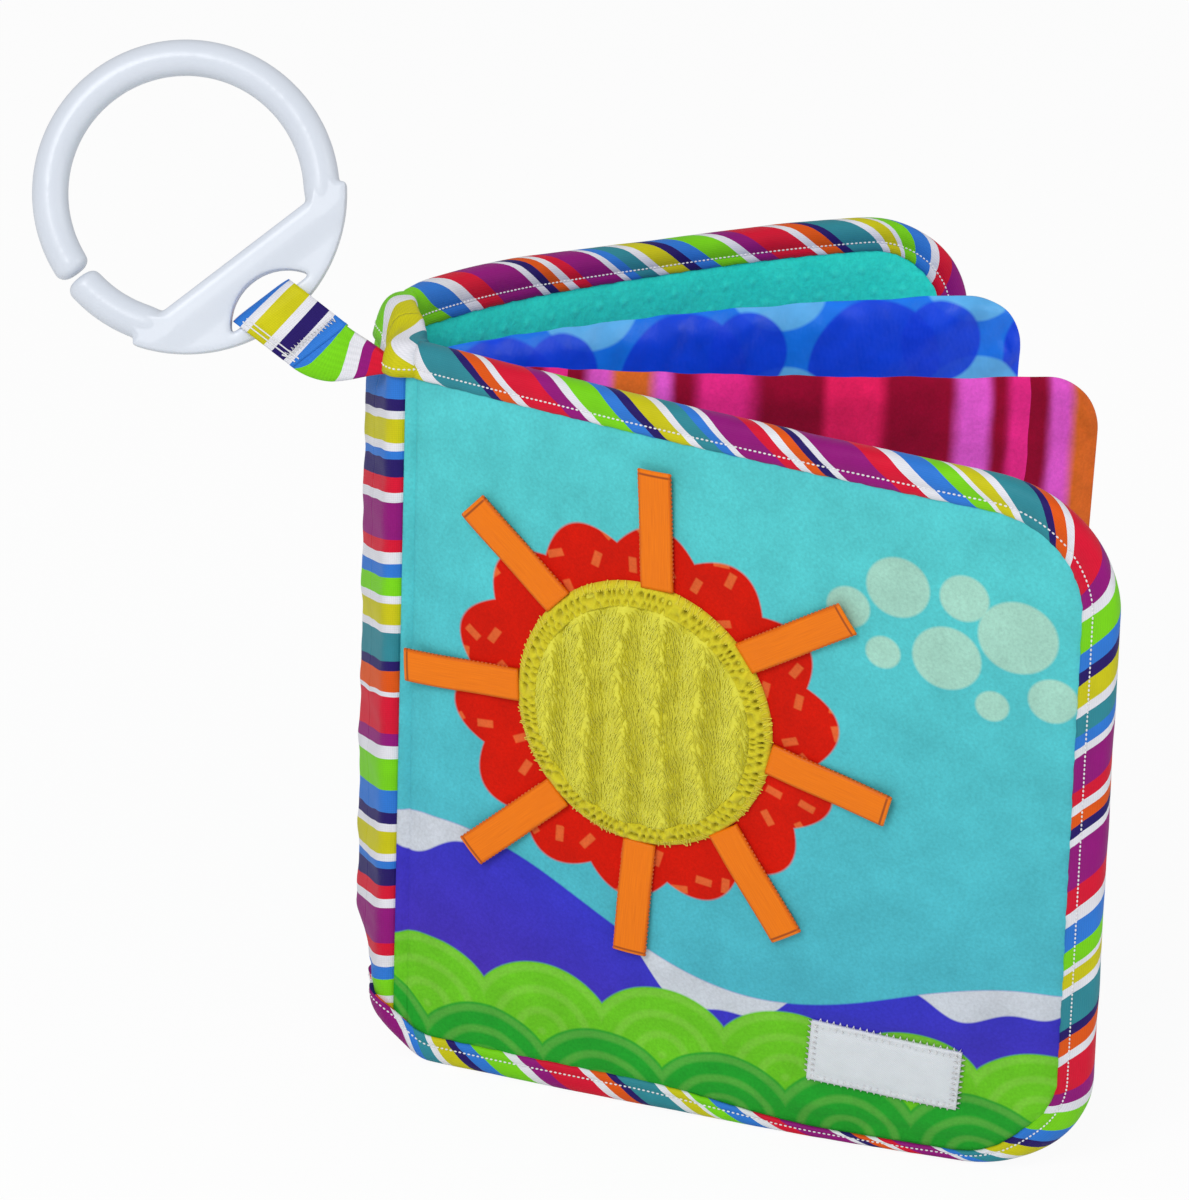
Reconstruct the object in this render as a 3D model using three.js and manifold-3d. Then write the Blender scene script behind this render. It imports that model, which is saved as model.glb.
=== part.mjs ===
// Soft activity book: two padded covers and two padded leaves fan out from a narrow spine, and a
// fabric loop at the spine's top carries a plastic link ring. Millimetres, +Z up, standing on Z = 0.
// The origin is the middle of the spine's foot. The spine runs up Z, and the closed leaves point to +X.
import * as THREE from "three";
import { mergeVertices } from "three/addons/utils/BufferGeometryUtils.js";
import Module from "manifold-3d";

const wasm = await Module();
wasm.setup();

// Clearances
const clothGap = 0.3; // between sewn pieces that touch on the real book
const ringPlay = 0.3; // between the loop's fold and the bar of the ring

// Covers
const coverHeight = 165;
const coverWidth = 155;
const coverCorner = 26;
const coverEdge = 4; // thickness of the sewn layers where they enter the binding
const coverCrown = 1.5; // how far each side of the padding swells past the edge
const coverCloth = 0.9;

// Striped binding round the covers and the spine
const bindingWidth = 7;
const bindingThickness = 6.4;
const bindingWall = 0.9;
const bindingRound = 1.3; // the roll of its outer edge

// Leaves
const leafHeight = 153;
const leafWidth = 141;
const leafCorner = 12;
const leafFoot = 4.5; // height of the leaves' lower edge above the covers' lower edge
const leafEdge = 1.9;
const leafCrown = 1.6;
const leafCloth = 0.8;
const leafRim = 6; // how far in from the seam a leaf's padding starts
const leafTuck = 0.85; // how far a leaf's inner cloth runs past its hinge line into the seam
const leafPitch = 5.6; // between the two seams that hold the leaves

// Spine
const hingePitch = 18; // between the folds where the covers turn
const foldRadius = 3.4; // the roll of striped cloth at each fold
const foldRound = 1.6; // at the roll's two ends
const spineCloth = 1;
const spinePadding = 4;
const spineBulge = 0.6;

// How far each panel is turned from the closed book, in degrees towards the front, and how it is bent
const frontTurn = 32;
const leafOneTurn = 13.5;
const leafTwoTurn = -5.5;
const backTurn = -20;
const frontBow = 3;
const leafOneBow = 4;
const leafTwoBow = -8;
const backBow = 13;
const frontSplay = 34; // how far the front cover's upper free corner leans out past its lower one
const backSplay = -10;

// Plush disc and the ribbon tabs round it, placed along and up the front cover
const discAlong = 57.6;
const discUp = 96;
const discHalfWidth = 27.3;
const discHalfHeight = 29;
const discEdge = 2;
const discDome = 2.2;
const ribbonWidth = 7;
const ribbonThickness = 1.2;
const ribbonLength = 26;
const ribbonLift = 1.8; // how far a tab's free end stands off the cover
const ribbonSeamGap = 1; // from the disc's edge to the seam that a tab turns on
// Where each tab is sewn, in degrees round the disc, and the way it points
const ribbonSeats = [
  [40, 34], [85, 92], [132, 138], [179, 183], [230, 223], [270, 267], [309, 304], [353, 347],
];

// Woven label
const labelAlong = 111.5;
const labelUp = 22.5;
const labelWidth = 32;
const labelHeight = 15.2;
const labelThickness = 0.8;
const labelTilt = -3.5;

// Link ring, with its plate and the bar that the loop goes round
const ringRadius = 27.7; // to the middle of the round rod
const rodRadius = 3.75;
const plateRadius = 32.8;
const plateChord = 16.4; // from the ring's centre to the plate's straight edge
const plateThickness = 5;
const plateChamfer = 1;
const barWidth = 4.2;
const slotLength = 20;
const slotDepth = 6;
const ringMouth = 1.2; // gap between the rod's two ends
const rodEndTaper = 1.6;
const barPlace = new THREE.Vector3(-24, 1.8, 168);
const ringTurn = -16;
const ringLean = -23;
const ringRoll = -39.5;

// Fabric loop
const strapWidth = 14.3;
const strapPly = 1.1;
const strapTail = 10.5; // from the bar to where the two plies are sewn flat together
const strapSkew = 15; // degrees that the strap runs off square to the bar
const neckWidth = 9;
const neckThickness = 3;
const neckReach = 4; // how far the neck keeps its direction at each of its two ends
const strapSeamDrop = 0.4; // from the binding's lower edge down to the loop's seam roll

const overrun = 2; // how far one solid runs into another before they are joined or cut

const colours = {
  stripe: 0xc8304a,
  aqua: 0x5cc4c6,
  padding: 0xf1efe8,
  lining: 0x2ba08f,
  binding: 0xd8c22a,
  plush: 0xd8ce45,
  ribbon: 0xf28a14,
  label: 0xf2f2ee,
  pink: 0xe6326e,
  blue: 0x1f5fd0,
  ring: 0xe4e4ec,
};
const roughCloth = 0.9;
const satin = 0.45;
const moulded = 0.35;

const radians = THREE.MathUtils.degToRad;

function piece(name, geometry, colour, roughness = roughCloth) {
  const material = new THREE.MeshStandardMaterial({ color: colour, roughness, metalness: 0 });
  const mesh = new THREE.Mesh(geometry, material);
  mesh.name = name;
  return mesh;
}

// Mesh building

function signedVolume(points, faces) {
  let sum = 0;
  const cross = new THREE.Vector3();
  for (const [a, b, c] of faces) {
    sum += points[a].dot(cross.crossVectors(points[b], points[c]));
  }
  return sum / 6;
}

function closedGeometry(points, faces) {
  const outward = signedVolume(points, faces) > 0;
  const geometry = new THREE.BufferGeometry();
  const flat = points.flatMap((p) => [p.x, p.y, p.z]);
  geometry.setAttribute("position", new THREE.Float32BufferAttribute(flat, 3));
  geometry.setIndex(faces.flatMap(([a, b, c]) => (outward ? [a, b, c] : [a, c, b])));
  geometry.computeVertexNormals();
  return geometry;
}

// A sheet with two sides: topAt and underAt give the two surfaces over the same grid.
function gridSolid(columns, rows, topAt, underAt) {
  const points = [];
  const faces = [];
  const perSide = columns * rows;
  for (const surface of [topAt, underAt]) {
    for (let i = 0; i < columns; i++) {
      for (let j = 0; j < rows; j++) {
        points.push(surface(i, j));
      }
    }
  }
  const top = (i, j) => i * rows + j;
  const under = (i, j) => perSide + i * rows + j;
  const quad = (a, b, c, d) => faces.push([a, b, c], [a, c, d]);
  for (let i = 0; i + 1 < columns; i++) {
    for (let j = 0; j + 1 < rows; j++) {
      quad(top(i, j), top(i + 1, j), top(i + 1, j + 1), top(i, j + 1));
      quad(under(i, j), under(i, j + 1), under(i + 1, j + 1), under(i + 1, j));
    }
    quad(top(i, 0), under(i, 0), under(i + 1, 0), top(i + 1, 0));
    quad(top(i, rows - 1), top(i + 1, rows - 1), under(i + 1, rows - 1), under(i, rows - 1));
  }
  for (let j = 0; j + 1 < rows; j++) {
    quad(top(0, j), top(0, j + 1), under(0, j + 1), under(0, j));
    const last = columns - 1;
    quad(top(last, j), under(last, j), under(last, j + 1), top(last, j + 1));
  }
  return closedGeometry(points, faces);
}

// A solid through a row of like outlines, with its two ends closed by the same flat triangles.
function loftSolid(rings, outline) {
  const count = outline.length;
  const points = rings.flat();
  const faces = [];
  for (let s = 0; s + 1 < rings.length; s++) {
    for (let k = 0; k < count; k++) {
      const next = (k + 1) % count;
      const here = s * count;
      const there = here + count;
      faces.push([here + k, here + next, there + next], [here + k, there + next, there + k]);
    }
  }
  const last = (rings.length - 1) * count;
  const turnsLeft = THREE.ShapeUtils.area(outline) > 0;
  for (const [a, b, c] of THREE.ShapeUtils.triangulateShape(outline, [])) {
    const [p, q] = turnsLeft ? [b, c] : [c, b];
    faces.push([a, q, p], [last + a, last + p, last + q]);
  }
  return closedGeometry(points, faces);
}

function circleOutline(sides) {
  const outline = [];
  for (let k = 0; k < sides; k++) {
    const angle = (2 * Math.PI * k) / sides;
    outline.push(new THREE.Vector2(Math.cos(angle), Math.sin(angle)));
  }
  return outline;
}

function toManifold(geometry) {
  const bare = geometry.clone();
  bare.deleteAttribute("normal");
  bare.deleteAttribute("uv");
  const merged = mergeVertices(bare);
  const vertProperties = new Float32Array(merged.attributes.position.array);
  const triVerts = new Uint32Array(merged.index.array);
  return new wasm.Manifold(new wasm.Mesh({ numProp: 3, vertProperties, triVerts }));
}

function fromManifold(solid) {
  const mesh = solid.getMesh();
  const geometry = new THREE.BufferGeometry();
  const positions = new THREE.BufferAttribute(new Float32Array(mesh.vertProperties), 3);
  geometry.setAttribute("position", positions);
  geometry.setIndex(new THREE.BufferAttribute(new Uint32Array(mesh.triVerts), 1));
  geometry.computeVertexNormals();
  return geometry;
}

// Panels: a point is given along the panel from its fold, up from the floor, and out from its middle

const half = 0.5;
const bindingInside = bindingThickness * half - bindingWall;
const cornerSteps = 5;
const spanSteps = 6;
const rowSteps = 6;

function panelPoint(panel, along, up, out) {
  const share = along / panel.width;
  const swell = 4 * panel.bow * share * (1 - share);
  const lean = panel.splay * share * (up / panel.height);
  return new THREE.Vector3(along, -panel.side * (swell + lean + out), up);
}

// The lowest and highest points of a panel at one place along it, drawn in from its edge by inset
function panelReach(panel, along, inset) {
  const radius = panel.corner - inset;
  const past = along - (panel.width - panel.corner);
  const within = Math.min(Math.max(past, 0), radius);
  const drop = radius - Math.sqrt(radius * radius - within * within);
  return [panel.foot + inset + drop, panel.foot + panel.height - inset - drop];
}

// Nought at both ends of a span, one over most of its middle
function pillow(share) {
  const clipped = Math.min(Math.max(share, 0), 1);
  return 1 - Math.pow(2 * clipped - 1, 4);
}

function swellAt(panel, along, up) {
  const [low, high] = panelReach(panel, along, panel.edgeInset);
  const lip = panel.lip - panel.edgeInset;
  const acrossShare = (along - panel.start) / (panel.width - panel.lip - panel.start);
  const upShare = (up - low - lip) / (high - low - 2 * lip);
  return panel.crown * pillow(acrossShare) * pillow(upShare);
}

function surfaceAt(panel, along, up) {
  return panel.edge * half + swellAt(panel, along, up);
}

function panelColumns(panel) {
  const radius = panel.corner - panel.edgeInset;
  const cornerStart = panel.width - panel.corner;
  const columns = [panel.start];
  for (let i = 0; i < spanSteps; i++) {
    columns.push(THREE.MathUtils.lerp(panel.start + panel.rim, cornerStart, i / spanSteps));
  }
  for (let i = 0; i <= cornerSteps; i++) {
    columns.push(cornerStart + radius * Math.sin((Math.PI * half * i) / cornerSteps));
  }
  return columns;
}

function panelRows(panel, along) {
  const [low, high] = panelReach(panel, along, panel.edgeInset);
  const rim = panel.rim - panel.edgeInset;
  const rows = [low];
  for (let j = 0; j <= rowSteps; j++) {
    rows.push(THREE.MathUtils.lerp(low + rim, high - rim, j / rowSteps));
  }
  rows.push(high);
  return rows;
}

// A layer of a panel between two depths, each worked out from the height of the outer surface.
// Trim is how many lines of the panel's grid the layer stops short of the edge.
function panelLayer(panel, trim, topFrom, underFrom) {
  const grid = panelColumns(panel);
  const columns = grid.slice(trim, grid.length - 2 * trim);
  const rows = columns.map((along) => {
    const line = panelRows(panel, along);
    return line.slice(trim, line.length - trim);
  });
  const at = (depthFrom) => (i, j) => {
    const along = columns[i];
    const up = rows[i][j];
    const height = surfaceAt(panel, along, up);
    const out = depthFrom(height);
    const tuckShare = along === panel.start ? (height - Math.abs(out)) / panel.cloth : 0;
    return panelPoint(panel, along - panel.tuck * tuckShare, up, out);
  };
  return gridSolid(columns.length, rows[0].length, at(topFrom), at(underFrom));
}

function outerLayer(panel) {
  return panelLayer(panel, 0, (h) => h, (h) => h - panel.cloth);
}

function innerLayer(panel) {
  return panelLayer(panel, 0, (h) => panel.cloth - h, (h) => -h);
}

function middleLayer(panel, trim) {
  const skin = panel.cloth + clothGap;
  return panelLayer(panel, trim, (h) => h - skin, (h) => skin - h);
}

function panelGroup(panel) {
  const group = new THREE.Group();
  group.position.set(panel.hingeX, panel.hingeY, 0);
  group.rotation.z = -radians(panel.turn);
  return group;
}

// Binding: a folded channel that runs along a cover's top, free edge and foot

const bindingSection = [
  [bindingWidth, bindingThickness * half],
  [bindingRound, bindingThickness * half],
  [0, bindingThickness * half - bindingRound],
  [0, bindingRound - bindingThickness * half],
  [bindingRound, -bindingThickness * half],
  [bindingWidth, -bindingThickness * half],
  [bindingWidth, -bindingInside],
  [bindingWall, -bindingInside],
  [bindingWall, bindingInside],
  [bindingWidth, bindingInside],
].map(([inset, out]) => new THREE.Vector2(inset, out));

function bindingGeometry(panel) {
  const radius = panel.corner;
  const top = panel.foot + panel.height;
  const cornerStart = panel.width - radius;
  const stations = [];
  for (let i = 0; i < spanSteps; i++) {
    const along = THREE.MathUtils.lerp(panel.start, cornerStart, i / spanSteps);
    stations.push({ along, up: top, outAlong: 0, outUp: 1 });
  }
  for (const [centreUp, from] of [[top - radius, 0], [panel.foot + radius, Math.PI * half]]) {
    for (let i = 0; i <= cornerSteps; i++) {
      const angle = from + (Math.PI * half * i) / cornerSteps;
      const outAlong = Math.sin(angle);
      const outUp = Math.cos(angle);
      const along = cornerStart + radius * outAlong;
      stations.push({ along, up: centreUp + radius * outUp, outAlong, outUp });
    }
  }
  for (let i = spanSteps - 1; i >= 0; i--) {
    const along = THREE.MathUtils.lerp(panel.start, cornerStart, i / spanSteps);
    stations.push({ along, up: panel.foot, outAlong: 0, outUp: -1 });
  }
  const rings = stations.map((s) =>
    bindingSection.map(({ x: inset, y: out }) =>
      panelPoint(panel, s.along - inset * s.outAlong, s.up - inset * s.outUp, out),
    ),
  );
  return loftSolid(rings, bindingSection);
}

// The four panels

const foldStart = foldRadius + clothGap; // the covers' layers start beyond the roll at the fold
const spineOuter = -foldRadius - spineBulge + clothGap;
const liningFace = spineOuter + spineBulge + 2 * spineCloth + spinePadding + 2 * clothGap;
const spineBindingInner = liningFace + clothGap + bindingWall;
const leafHingeX = spineBindingInner + clothGap + leafTuck;

// A bent panel reaches less far than its flat width
function reachOf(flatWidth, bow) {
  return flatWidth - (8 * bow * bow) / (3 * flatWidth);
}

const coverShape = {
  hingeX: 0,
  height: coverHeight,
  corner: coverCorner,
  foot: 0,
  start: foldStart,
  edge: coverEdge,
  crown: coverCrown,
  cloth: coverCloth,
  lip: bindingWidth,
  rim: bindingWidth,
  tuck: 0,
  edgeInset: bindingWall + clothGap,
};
const leafShape = {
  hingeX: leafHingeX,
  height: leafHeight,
  corner: leafCorner,
  foot: leafFoot,
  start: 0,
  edge: leafEdge,
  crown: leafCrown,
  cloth: leafCloth,
  lip: 0,
  rim: leafRim,
  tuck: leafTuck,
  edgeInset: 0,
  splay: 0,
};
const frontPanel = {
  ...coverShape,
  width: reachOf(coverWidth, frontBow),
  hingeY: -hingePitch * half,
  turn: frontTurn,
  bow: frontBow,
  splay: frontSplay,
  side: 1,
};
const backPanel = {
  ...coverShape,
  width: reachOf(coverWidth, backBow),
  hingeY: hingePitch * half,
  turn: backTurn,
  bow: backBow,
  splay: backSplay,
  side: -1,
};
const leafOnePanel = {
  ...leafShape,
  width: reachOf(leafWidth, leafOneBow),
  hingeY: -leafPitch * half,
  turn: leafOneTurn,
  bow: leafOneBow,
  side: 1,
};
const leafTwoPanel = {
  ...leafShape,
  width: reachOf(leafWidth, leafTwoBow),
  hingeY: leafPitch * half,
  turn: leafTwoTurn,
  bow: leafTwoBow,
  side: 1,
};

// Spine

const spineReach = hingePitch * half - foldRadius - clothGap;
const spineInset = bindingWall + clothGap;
const arcSteps = 6;

function spineSheet(name, outerX, thickness, bulge, colour) {
  const shape = new THREE.Shape();
  const edge = (y) => outerX + bulge - bulge * (1 - Math.pow(y / spineReach, 2));
  for (let i = 0; i <= arcSteps; i++) {
    const y = THREE.MathUtils.lerp(-spineReach, spineReach, i / arcSteps);
    if (i === 0) shape.moveTo(edge(y), y);
    else shape.lineTo(edge(y), y);
  }
  shape.lineTo(outerX + bulge + thickness, spineReach);
  shape.lineTo(outerX + bulge + thickness, -spineReach);
  shape.closePath();
  const depth = coverHeight - 2 * spineInset;
  const geometry = new THREE.ExtrudeGeometry(shape, { depth, bevelEnabled: false });
  const mesh = piece(name, geometry, colour);
  mesh.position.z = spineInset;
  return mesh;
}

// The lining is raised between the two bindings, where the leaves are sewn to it
function spineLining(baseX) {
  const edgeX = baseX + spineCloth;
  const shoulder = bindingWidth + clothGap;
  const section = [
    [baseX, spineInset],
    [edgeX, spineInset],
    [edgeX, shoulder],
    [spineBindingInner, shoulder],
    [spineBindingInner, coverHeight - shoulder],
    [edgeX, coverHeight - shoulder],
    [edgeX, coverHeight - spineInset],
    [baseX, coverHeight - spineInset],
  ].map(([x, z]) => new THREE.Vector2(x, z));
  const rings = [-spineReach, spineReach].map((y) =>
    section.map((p) => new THREE.Vector3(p.x, y, p.y)),
  );
  return piece("spine_lining", loftSolid(rings, section), colours.lining);
}

function spineBinding(name, atTop) {
  const outer = spineOuter - clothGap - bindingWall;
  const section = [
    [outer, bindingWidth],
    [outer, bindingRound],
    [outer + bindingRound, 0],
    [spineBindingInner - bindingRound, 0],
    [spineBindingInner, bindingRound],
    [spineBindingInner, bindingWidth],
    [spineBindingInner - bindingWall, bindingWidth],
    [spineBindingInner - bindingWall, bindingWall],
    [outer + bindingWall, bindingWall],
    [outer + bindingWall, bindingWidth],
  ].map(([x, z]) => new THREE.Vector2(x, z));
  const height = (z) => (atTop ? coverHeight - z : z);
  const rings = [-spineReach, spineReach].map((y) =>
    section.map((p) => new THREE.Vector3(p.x, y, height(p.y))),
  );
  return piece(name, loftSolid(rings, section), colours.binding);
}

// The striped cloth's roll at a fold, which turns with its cover
function foldRoll(name) {
  const sides = 16;
  const profile = [
    [0, 0],
    [foldRadius - foldRound, 0],
    [foldRadius, foldRound],
    [foldRadius, coverHeight - foldRound],
    [foldRadius - foldRound, coverHeight],
    [0, coverHeight],
  ].map(([x, y]) => new THREE.Vector2(x, y));
  const mesh = piece(name, new THREE.LatheGeometry(profile, sides), colours.stripe);
  mesh.rotation.x = Math.PI * half;
  return mesh;
}

function buildSpine() {
  const group = new THREE.Group();
  const paddingX = spineOuter + spineBulge + spineCloth + clothGap;
  const liningX = paddingX + spinePadding + clothGap;
  group.add(
    spineSheet("spine_panel", spineOuter, spineCloth, spineBulge, colours.stripe),
    spineSheet("spine_padding", paddingX, spinePadding, 0, colours.padding),
    spineLining(liningX),
    spineBinding("spine_binding_foot", false),
    spineBinding("spine_binding_top", true),
  );
  return group;
}

// What is sewn on the front cover

function plushDisc() {
  const spokes = 28;
  const ringShares = [1, 0.97, 0.8, 0.5];
  const under = [];
  const over = [];
  const place = (share, angle, height) => {
    const along = discAlong + share * discHalfWidth * Math.cos(angle);
    const up = discUp + share * discHalfHeight * Math.sin(angle);
    return panelPoint(frontPanel, along, up, surfaceAt(frontPanel, along, up) + height);
  };
  for (const share of ringShares) {
    for (let k = 0; k < spokes; k++) {
      const angle = (2 * Math.PI * k) / spokes;
      const rimHeight = share === 1 ? discEdge * half : discEdge;
      over.push(place(share, angle, clothGap + rimHeight + discDome * (1 - share * share)));
      under.push(place(share, angle, clothGap));
    }
  }
  over.push(place(0, 0, clothGap + discEdge + discDome));
  under.push(place(0, 0, clothGap));
  const points = [...over, ...under];
  const faces = [];
  const rings = ringShares.length;
  const offset = over.length;
  for (let k = 0; k < spokes; k++) {
    const next = (k + 1) % spokes;
    for (let r = 0; r + 1 < rings; r++) {
      const a = r * spokes + k;
      const b = r * spokes + next;
      const c = (r + 1) * spokes + next;
      const d = (r + 1) * spokes + k;
      faces.push([a, b, c], [a, c, d], [offset + a, offset + c, offset + b]);
      faces.push([offset + a, offset + d, offset + c]);
    }
    const inner = (rings - 1) * spokes;
    faces.push([inner + k, inner + next, offset - 1]);
    faces.push([offset + inner + k, points.length - 1, offset + inner + next]);
    faces.push([k, offset + k, offset + next], [k, offset + next, next]);
  }
  return piece("plush_disc", closedGeometry(points, faces), colours.plush);
}

// The seam of one tab and the way it points, along and up the cover
function ribbonSeat(bearing, heading) {
  const from = new THREE.Vector2(Math.cos(radians(bearing)), Math.sin(radians(bearing)));
  const reach = 1 / Math.hypot(from.x / discHalfWidth, from.y / discHalfHeight);
  const seam = new THREE.Vector2(discAlong, discUp).addScaledVector(from, reach + ribbonSeamGap);
  const towards = new THREE.Vector2(Math.cos(radians(heading)), Math.sin(radians(heading)));
  return { seam, towards };
}

const ribbonSteps = 4;

function ribbonTab(name, bearing, heading) {
  const { seam, towards } = ribbonSeat(bearing, heading);
  const across = new THREE.Vector2(-towards.y, towards.x);
  const at = (height) => (i, j) => {
    const share = i / ribbonSteps;
    const spot = seam.clone().addScaledVector(towards, ribbonLength * share);
    spot.addScaledVector(across, ribbonWidth * (j - half));
    const lift = clothGap + ribbonLift * share + height;
    return panelPoint(frontPanel, spot.x, spot.y, surfaceAt(frontPanel, spot.x, spot.y) + lift);
  };
  const geometry = gridSolid(ribbonSteps + 1, 2, at(ribbonThickness), at(0));
  const mesh = piece(name, geometry, colours.ribbon, satin);
  const seamHeight = surfaceAt(frontPanel, seam.x, seam.y) + clothGap + ribbonThickness * half;
  const origin = panelPoint(frontPanel, seam.x, seam.y, seamHeight);
  const tip = seam.clone().sub(across);
  const tipHeight = surfaceAt(frontPanel, tip.x, tip.y) + clothGap + ribbonThickness * half;
  const axis = panelPoint(frontPanel, tip.x, tip.y, tipHeight).sub(origin).normalize();
  mesh.userData.hinge = { origin, axis };
  return mesh;
}

function wovenLabel() {
  const turn = radians(labelTilt);
  const columns = 5;
  const rows = 3;
  const at = (height) => (i, j) => {
    const x = labelWidth * (i / (columns - 1) - half);
    const y = labelHeight * (j / (rows - 1) - half);
    const along = labelAlong + x * Math.cos(turn) - y * Math.sin(turn);
    const up = labelUp + x * Math.sin(turn) + y * Math.cos(turn);
    return panelPoint(frontPanel, along, up, surfaceAt(frontPanel, along, up) + clothGap + height);
  };
  const geometry = gridSolid(columns, rows, at(labelThickness), at(0));
  return piece("woven_label", geometry, colours.label);
}

function buildCover(panel, prefix, faceColour) {
  const group = panelGroup(panel);
  group.add(
    foldRoll(prefix + "_fold_roll"),
    piece(prefix + "_face", outerLayer(panel), faceColour),
    piece(prefix + "_padding", middleLayer(panel, 0), colours.padding),
    piece(prefix + "_lining", innerLayer(panel), colours.lining),
    piece(prefix + "_binding", bindingGeometry(panel), colours.binding),
  );
  return group;
}

function buildLeaf(panel, prefix, colour, roughness) {
  const group = panelGroup(panel);
  group.add(
    piece(prefix + "_front", outerLayer(panel), colour, roughness),
    piece(prefix + "_padding", middleLayer(panel, 1), colours.padding),
    piece(prefix + "_back", innerLayer(panel), colour, roughness),
  );
  return group;
}

// Link ring, in its own frame: X along the bar, Z from the bar to the ring's centre, Y away from the front

const ringCentreUp = plateRadius - barWidth * half;

function ringPlate() {
  const chordAngle = Math.asin(plateChord / plateRadius);
  const centreUp = ringCentreUp;
  const inner = plateChamfer;
  const shape = new THREE.Shape();
  const radius = plateRadius - inner;
  shape.absarc(0, centreUp, radius, -Math.PI + chordAngle, -chordAngle, false);
  shape.closePath();
  const slotRise = barWidth * half;
  const slotRadius = (Math.pow(slotLength * half, 2) + slotDepth * slotDepth) / (2 * slotDepth);
  const slotCentre = slotRise + slotDepth - slotRadius;
  const slotAngle = Math.asin((slotRise - slotCentre) / slotRadius);
  const slot = new THREE.Path();
  slot.absarc(0, slotCentre, slotRadius + inner, slotAngle, Math.PI - slotAngle, false);
  slot.lineTo(-slotLength * half - inner, slotRise - inner);
  slot.lineTo(slotLength * half + inner, slotRise - inner);
  slot.closePath();
  shape.holes.push(slot);
  const geometry = new THREE.ExtrudeGeometry(shape, {
    depth: plateThickness - 2 * plateChamfer,
    bevelThickness: plateChamfer,
    bevelSize: plateChamfer,
    bevelSegments: 1,
    curveSegments: 16,
  });
  geometry.translate(0, 0, plateChamfer - plateThickness * half);
  geometry.rotateX(Math.PI * half);
  return geometry;
}

// A stretch of the round rod, with the end at the ring's mouth tapered
function ringRod(fromDegrees, toDegrees, steps) {
  const outline = circleOutline(12);
  const taperTurn = rodEndTaper / ringRadius;
  const from = radians(fromDegrees);
  const to = radians(toDegrees);
  const mouth = Math.PI;
  const rings = [];
  const addRing = (angle, radius) => {
    const outwards = new THREE.Vector3(Math.cos(angle), 0, Math.sin(angle));
    const centre = new THREE.Vector3(0, 0, ringCentreUp).addScaledVector(outwards, ringRadius);
    rings.push(
      outline.map((p) => {
        const spot = centre.clone().addScaledVector(outwards, radius * p.x);
        spot.y += radius * p.y;
        return spot;
      }),
    );
  };
  for (let i = 0; i <= steps; i++) {
    addRing(THREE.MathUtils.lerp(from, to, i / steps), rodRadius);
  }
  const endShare = 0.62;
  const direction = Math.sign(to - from);
  addRing(to + direction * taperTurn * half, rodRadius * (1 + endShare) * half);
  addRing(to + direction * taperTurn, rodRadius * endShare * half);
  if (Math.abs(to - mouth) > Math.PI) throw new Error("the rod ends away from the mouth");
  return loftSolid(rings, outline);
}

function buildRing() {
  const plateTurn = THREE.MathUtils.radToDeg(Math.asin(plateChord / ringRadius));
  const intoPlate = 9;
  const mouthTurn = THREE.MathUtils.radToDeg((ringMouth * half + rodEndTaper) / ringRadius);
  const longArm = ringRod(-plateTurn - intoPlate, 180 - mouthTurn, 36);
  const shortArm = ringRod(180 + plateTurn + intoPlate, 180 + mouthTurn, 8);
  const joined = toManifold(ringPlate()).add(toManifold(longArm)).add(toManifold(shortArm));
  const group = new THREE.Group();
  group.position.copy(barPlace);
  group.rotation.set(radians(ringLean), radians(ringRoll), radians(ringTurn), "ZXY");
  group.add(piece("link_ring", fromManifold(joined), colours.ring, moulded));
  return group;
}

// Fabric loop: two plies round the bar, sewn flat together, then a neck that is drawn in to its seam

const eyeRadius = Math.hypot(barWidth * half - plateChamfer * half, plateThickness * half) + ringPlay;
const strapFlat = strapPly + clothGap; // half thickness where the plies are sewn together
const seamX = spineOuter - clothGap - neckThickness * half;
const seamZ = coverHeight - bindingWidth - strapSeamDrop - neckThickness * half;

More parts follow.
